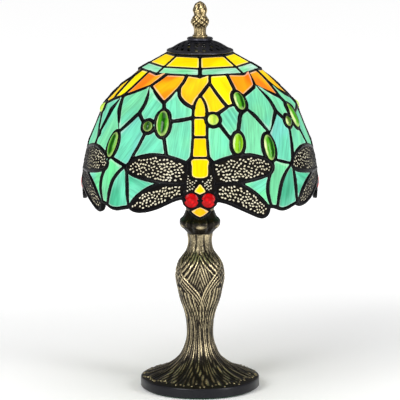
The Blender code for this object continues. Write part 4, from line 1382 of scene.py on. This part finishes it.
def cast_trunk():
    """The trunk casting, with dark patina on its foot's edge and underside."""
    edge = [(50.3, FOOT_EDGE), (50.8, 9.2), (51.0, 8.6)] + [(51.0, z) for z in (6.5, 4.5, 2.5)]
    inside = [(51.0, 1.9), (50.7, 1.5), (44.5, 1.5), (44.0, 7.5), (16.0, 12.0), (BORE, 12.0)]
    path = [(BORE, TRUNK_TOP)] + FLANK + [(48.4, 10.2), (49.6, 9.9)] + edge + inside
    trunk = relief_turn("trunk_with_roots", path, 300, FINISH["bronze"], carve_trunk, 50)
    trunk.data.materials.append(FINISH["foot_edge"])
    for face in trunk.data.polygons:
        x, y, z = face.center / MM
        is_edge, is_under = z < FOOT_EDGE + 0.15, z < 12.1 and math.hypot(x, y) < 44
        face.material_index = int(is_edge or is_under)
    fit(trunk, "root", "antique_casting", "trunk_casting")


def carve_cup(angle, radius, height):
    """Six full lobes with sharp lips and deep valleys between them; the lips and the lobes' bellies
    are brightened, as rubbed brass and painted highlight.
    """
    up = np.clip((height - CUP_FOOT) / CUP_HEIGHT, 0, 1)
    belly = np.where(radius > 6, np.sin(np.pi * up), 0)
    lobe = np.abs(np.cos(3 * angle)) ** 0.6
    lip = np.exp(-((lobe - 0.68) / 0.13) ** 2)
    # painted highlight and rubbed brass: a bright band round the widest part of each lobe, and
    # bright lips
    lobe_highlight = np.exp(-((height - 141.5) / 1.8) ** 2) * lobe ** 4
    rise = belly * (3.0 * (lobe - 1) + 0.5 * lip + 0.2 * ridges(24 * angle + height / 2))
    return rise, np.clip(0.05 + belly * (0.30 * lobe ** 4 + 0.32 * lip + 0.42 * lobe_highlight), 0, 1)


def carve_finial(angle, radius, height):
    """A plain neck, a bulge of crossing leaves and a ribbed bud."""
    leaves = (0.7 * ridges(7 * angle + 1.25 * height, 0.6)
              + 0.7 * ridges(11 * angle - 1.6 * height, 0.7) - 1.1)
    bud = (0.9 * ridges(6 * angle + 0.3 * height, 0.6)
           + 0.5 * ridges(13 * angle - 0.9 * height, 0.7) - 1.1)
    neck = 0.25 * ridges(14 * angle, 0.7) - 0.2
    on_bulge = ease(height, 311.2, 312.4) * (1 - ease(height, 320.6, 321.6))
    on_bud = ease(height, 321.4, 322.4) * (1 - ease(height, 331.2, 333.0))
    on_neck = ease(height, 305.0, 305.6) * (1 - on_bulge) * (height < 312)
    rise = np.where(radius > 3.6, leaves * on_bulge + bud * on_bud + neck * on_neck, 0)
    return rise, np.clip(0.62 + 0.8 * rise, 0, 1)


def thread(pitch, depth, low, high):
    """Carves a round screw thread between two heights."""
    def carve(angle, radius, height):
        on = ease(height, low, low + 0.8) * (1 - ease(height, high - 0.8, high))
        return depth * np.cos(2 * math.pi * height / pitch - angle) * on, 0 * angle + 0.5
    return carve


def stepped(path, most=0.25):
    """A section with its long straight runs cut into short steps."""
    fine = []
    for a, b in zip(path, path[1:]):
        count = max(1, math.ceil(math.dist(a, b) / most))
        fine += [(a[0] + (b[0] - a[0]) * k / count, a[1] + (b[1] - a[1]) * k / count)
                 for k in range(count)]
    return fine + [path[-1]]


def turn_parts():
    """The turned and pressed parts: name, section, sides, finish, carving, body, slot, node."""
    cup = curve([(12.6, 153.7), (14.8, 149.0), (17.7, 146.0), (17.9, 143.0), (16.6, 140.4),
                 (14.4, 138.6), (11.2, CUP_FOOT)], 9)
    finial = curve([(0.6, 333.25), (4.0, 330.8), (5.9, 325.7), (5.0, 322.0), (6.5, 319.0),
                    (7.7, 315.5), (5.4, 310.4), (5.4, 305.3), (6.4, 304.4), (6.4, 302.9)], 9)
    sleeve = [(BORE, 168.0), (11.4, 168.0), (12.1, 167.3), (12.1, 165.2), (11.5, 164.6),
              (11.5, 157.4), (12.1, 156.8), (12.1, 154.7), (11.4, 154.0), (BORE, 154.0)]
    shell = stepped([(6.05, 205.9), (6.05, 203.0), (5.7, 202.4), (5.7, 191.3), (5.2, 190.5)])
    stud = [(0, 309.5)] + stepped([(2.6, 309.5), (2.85, 309.1), (2.85, 296.3)]) + [
        (3.0, 296.2), (6.3, 296.2), (6.5, 296.0), (6.5, 293.6), (6.3, 293.4), (0, 293.4)]
    socket_cup = [(11.5, 188.0), (13.4, 188.0), (13.4, 176.5), (9.0, 173.9), (BORE, 173.9),
                  (BORE, 176.3), (9.3, 176.3), (11.5, 178.0)]
    socket_body = [(7.2, 206.0), (11.0, 206.0), (11.0, 179.4), (9.0, 176.8), (2.6, 176.8),
                   (2.6, 182.4), (7.2, 182.4)]
    socket_thread = stepped([(6.9, 204.5), (6.9, 186.4)]) + stepped([(6.55, 186.4), (6.55, 204.5)])
    collar = [(3.6, 302.6), (10.4, 302.6), (11.0, 301.9), (11.0, 300.9), (10.4, 300.2),
              (3.6, 300.2)]
    washer = [(3.5, 298.0), (9.0, 298.0), (9.0, 296.5), (3.5, 296.5)]
    ceramic = [(0, 215.2), (8.95, 215.2), (8.95, 210.4), (6.6, 206.5), (0, 206.5)]
    cover = [(0, 262.0), (2.5, 262.0), (6.0, 261.0), (9.0, 257.0), (9.0, 215.5), (8.0, 215.5),
             (8.0, 256.5), (5.4, 259.9), (2.2, 260.8), (0, 260.8)]
    felt = [(0, 1.2), (48.5, 1.2), (48.5, 0.0), (0, 0.0)]
    parts = [
        ("leafy_finial", [(0, 333.3)] + finial + [(3.35, 302.9), (3.35, 310.8), (0, 310.8)],
         96, "brass", carve_finial, "finial", "antique_brass", "finial"),
        ("lobed_knop", [(BORE, 153.7)] + cup + [(BORE, CUP_FOOT)],
         144, "bronze", carve_cup, "root", "antique_casting", "lobed_cup"),
        ("ringed_sleeve", rounded(sleeve, 0.3),
         64, "bronze", None, "root", "antique_casting", "neck_sleeve"),
        ("finial_collar", rounded(collar),
         72, "gunmetal", None, "shade", "antique_brass", "cap_collar"),
        ("turned_washer", rounded(washer, 0.3),
         48, "steel", None, "seat", "plated_steel", "seat_washer"),
        ("threaded_stud", stud,
         24, "steel", thread(0.8, 0.14, 296.6, 309.2), "root", "plated_steel", "shade_stud"),
        ("pressed_socket_cup", rounded(socket_cup, 0.5),
         64, "socket_brass", None, "root", "brass", "socket_cup"),
        ("moulded_socket_body", rounded(socket_body, 0.5),
         64, "phenolic", None, "root", "phenolic", "socket_housing"),
        ("rolled_socket_thread", socket_thread, 48, "socket_brass",
         thread(2.54, 0.12, 187.0, 204.0), "root", "brass", "socket_screw_shell"),
        ("rolled_bulb_thread", [(0, 206.2), (5.8, 206.2)] + shell + [(0, 190.5)],
         48, "chrome", thread(2.54, 0.38, 191.5, 202.6), "bulb", "chrome", "bulb_screw_shell"),
        ("ceramic_collar", rounded(ceramic, 0.6),
         64, "white_plastic", None, "bulb", "white_plastic", "bulb_collar"),
        ("bulb_cover_tube", rounded(cover, 0.8),
         64, "clear", None, "bulb", "clear_cover", "bulb_cover"),
        ("felt_disc", rounded(felt, 0.3), 96, "felt", None, "root", "felt", "felt_pad"),
    ]
    for name, path, sides, mat, carve, body, slot, stands_for in parts:
        fit(relief_turn(name, path, sides, FINISH[mat], carve), body, slot, stands_for)


# ---- vented cap ----

DOME = curve([(28.2, 291.6), (24.9, 293.2), (19.6, 296.5), (14.5, 298.9), (10.5, 299.9)], 6)
SLOT_ROWS = ((22.9, 22), (18.6, 18), (14.6, 14))   # radius in mm and number of slots
DOME_HOLE, DOME_EDGE = 11.3, 25.2


def make_cap_tree():
    """Rings of slanting slots cut through a flat ring of sheet, still to be domed."""
    tree, given, result = geometry_tree("pierce_cap", [
        ("Slot Length", FLOAT, 2.15 * MM), ("Slot Width", FLOAT, 1.25 * MM), ("Slant", FLOAT, 0.7),
        ("Thickness", FLOAT, 1.0 * MM)])
    size = vector(tree, X=given["Slot Length"], Y=given["Slot Width"], Z=1.0)
    slot, index = circle(tree, 12, 1.0), out(tree, 'GeometryNodeInputIndex')
    outlines = [circle(tree, 88, DOME_EDGE * MM), circle(tree, 60, DOME_HOLE * MM)]
    for radius, count in SLOT_ROWS:
        turn = maths(tree, 'MULTIPLY_ADD', index, 2 * math.pi / count, given["Slant"])
        slots = set_at(tree, circle(tree, count, radius * MM), slot, turn, Scale=size)
        outlines.append(out(tree, 'GeometryNodeRealizeInstances', {"Geometry": slots}))
    sheet = pierced_sheet(tree, joined(tree, *outlines), given["Thickness"])
    return close_tree(tree, sheet, given, result)


def press_cap():
    """The cap: a pierced dome with a rolled rim and a plain hub under the collar."""
    blank = grow("cap_blank", make_cap_tree(), finish=FINISH["gunmetal"])
    radii, heights = np.array(DOME[::-1]).T
    slope = np.gradient(heights, radii)
    for v in blank.data.vertices:
        r = math.hypot(v.co.x, v.co.y) / MM
        fall = np.interp(r, radii, slope)
        lift = abs(v.co.z) / MM - 1.0
        length = math.hypot(1.0, fall)
        new_r, new_z = r - lift * fall / length, np.interp(r, radii, heights) + lift / length
        v.co = Vector((v.co.x * new_r / r, v.co.y * new_r / r, new_z * MM))
    bm = bmesh.new()
    bm.from_mesh(blank.data)
    bpy.data.objects.remove(blank)
    fit(mesh_object("pierced_dome", bm, FINISH["gunmetal"], 30), "shade", "gunmetal", "vented_cap")
    rim = curve([(24.6, 293.5), (25.6, 293.1), (26.8, 292.7), (27.8, 292.3), (28.3, 291.6),
                 (28.0, 290.9), (27.2, 290.7)], 4) + [(26.4, 291.2), (24.6, 292.3)]
    fit(relief_turn("rolled_cap_rim", rim, 96, FINISH["gunmetal"]), "shade", "gunmetal")
    hub = rounded([(3.6, 300.0), (10.8, 300.0), (12.2, 299.5), (12.0, 298.6), (3.6, 298.8)], 0.3)
    fit(relief_turn("cap_hub", hub, 72, FINISH["gunmetal"]), "shade", "gunmetal")


# ---- harp, emitters and root nodules ----

def make_sweep_tree():
    """A round bar along a line."""
    tree, given, result = geometry_tree("sweep_wire", [("Radius", FLOAT, 1.6 * MM)])
    line = out(tree, 'GeometryNodeMeshToCurve', {"Mesh": given["Geometry"]})
    bar = out(tree, 'GeometryNodeCurveToMesh', {"Curve": line, "Fill Caps": True,
              "Profile Curve": circle(tree, 16, given["Radius"])})
    bar = out(tree, 'GeometryNodeSetShadeSmooth', {"Geometry": bar})
    return close_tree(tree, bar, given, result)


def bend_harp():
    """The wire hoop that carries the shade."""
    right = curve([(25, 181.8), (25, 190.8), (29.5, 215), (29.5, 240), (22.0, 268), (11.0, 286.5),
                   (4.0, 291.5)], 10)
    path = [(-x, z) for x, z in right] + right[::-1]
    mesh = bpy.data.meshes.new("harp_line")
    mesh.from_pydata([(x * MM, 0, z * MM) for x, z in path],
                     [(k, k + 1) for k in range(len(path) - 1)], [])
    harp = grow("bent_harp_wire", make_sweep_tree(), mesh, radius=1.6 * MM, finish=FINISH["steel"])
    fit(harp, "root", "plated_steel", "harp_wire")


def make_emitter_tree():
    """Rows of small square emitters wrapped round a carrier tube."""
    tree, given, result = geometry_tree("set_emitters", [
        ("Columns", WHOLE, 9), ("Rows", WHOLE, 9), ("Tube Radius", FLOAT, 5.8 * MM),
        ("Foot", FLOAT, 218.5 * MM), ("Pitch", FLOAT, 4.1 * MM)])
    columns, radius = given["Columns"], given["Tube Radius"]
    points = out(tree, 'GeometryNodePoints',
                 {"Count": maths(tree, 'MULTIPLY', columns, given["Rows"])})
    index = out(tree, 'GeometryNodeInputIndex')
    row = maths(tree, 'FLOOR', maths(tree, 'DIVIDE', index, columns))
    share = maths(tree, 'DIVIDE', maths(tree, 'MODULO', index, columns), columns)
    angle = maths(tree, 'MULTIPLY', share, 2 * math.pi)
    x = maths(tree, 'MULTIPLY', maths(tree, 'SINE', angle), radius)
    y = maths(tree, 'MULTIPLY', maths(tree, 'COSINE', angle), radius)
    place = vector(tree, X=x, Y=maths(tree, 'MULTIPLY', y, -1.0),
                   Z=maths(tree, 'MULTIPLY_ADD', row, given["Pitch"], given["Foot"]))
    points = out(tree, 'GeometryNodeSetPosition', {"Geometry": points, "Position": place})
    chip = out(tree, 'GeometryNodeMeshCube', {"Size": (2.6 * MM, 0.8 * MM, 3.0 * MM)})
    return close_tree(tree, set_at(tree, points, chip, angle), given, result)


def light_bulb():
    """The emitters and the tube that carries them."""
    chips = grow("emitter_rows", make_emitter_tree(), finish=FINISH["phosphor"])
    fit(chips, "bulb", "amber_emitters")
    tube = rounded([(0, 255.0), (5.7, 255.0), (5.7, 215.5), (0, 215.5)], 0.4)
    fit(relief_turn("emitter_carrier", tube, 36, FINISH["white_plastic"]), "bulb",
        "amber_emitters", "bulb_led_carrier")


def make_nodule_tree():
    """Rounded root ends set close together in a ring; the further in, the higher."""
    tree, given, result = geometry_tree("set_nodules", [
        ("Count", WHOLE, 84), ("Ring Radius", FLOAT, 48.6 * MM), ("Height", FLOAT, 9.9 * MM),
        ("Size", FLOAT, 1.15 * MM), ("Seed", WHOLE, 3)])
    points = circle(tree, given["Count"], given["Ring Radius"])
    turn = maths(tree, 'MULTIPLY', out(tree, 'GeometryNodeInputIndex'),
                 maths(tree, 'DIVIDE', 2 * math.pi, given["Count"]))
    knob = out(tree, 'GeometryNodeMeshUVSphere', {"Segments": 10, "Rings": 6,
               "Radius": given["Size"]})
    wide, deep, tall, share = (
        lot(tree, low, high, maths(tree, 'ADD', given["Seed"], k + 1)) for k, (low, high)
        in enumerate(((1.0, 2.2), (0.7, 1.2), (0.5, 0.9), (0.86, 1.0))))
    climb = maths(tree, 'MULTIPLY_ADD', share, -0.36, 0.36)
    climb = maths(tree, 'MULTIPLY_ADD', climb, given["Ring Radius"], given["Height"])
    place = scaled(tree, out(tree, 'GeometryNodeInputPosition'), share)
    points = out(tree, 'GeometryNodeSetPosition', {"Geometry": points, "Position": place,
                 "Offset": vector(tree, Z=climb)})
    knobs = set_at(tree, points, knob, turn, Scale=vector(tree, X=wide, Y=deep, Z=tall))
    knobs = out(tree, 'GeometryNodeRealizeInstances', {"Geometry": knobs})
    knobs = out(tree, 'GeometryNodeSetShadeSmooth', {"Geometry": knobs})
    return close_tree(tree, knobs, given, result)


def set_nodules():
    knobs = grow("root_nodules", make_nodule_tree(), finish=FINISH["nodules"])
    fit(knobs, "root", "antique_casting")


def finish_kept_nodes():
    """New finishes for the CAD parts whose shape is already right."""
    kept = {"lower_washer": "steel", "lower_lock_nut": "steel", "upper_lock_nut": "steel",
            "lamp_pipe": "steel", "harp_saddle": "steel", "socket_contact": "socket_brass",
            "bulb_tip_contact": "steel", "bulb_insulator": "phenolic", "cord_grommet": "rubber"}
    for name, mat in kept.items():
        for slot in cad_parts[name].material_slots:
            slot.material = FINISH[mat]


# ---- run ----

place_camera()
light_studio()
lay_floor(FINISH["floor"])
build_shade()
cast_trunk()
turn_parts()
press_cap()
bend_harp()
light_bulb()
set_nodules()
finish_kept_nodes()
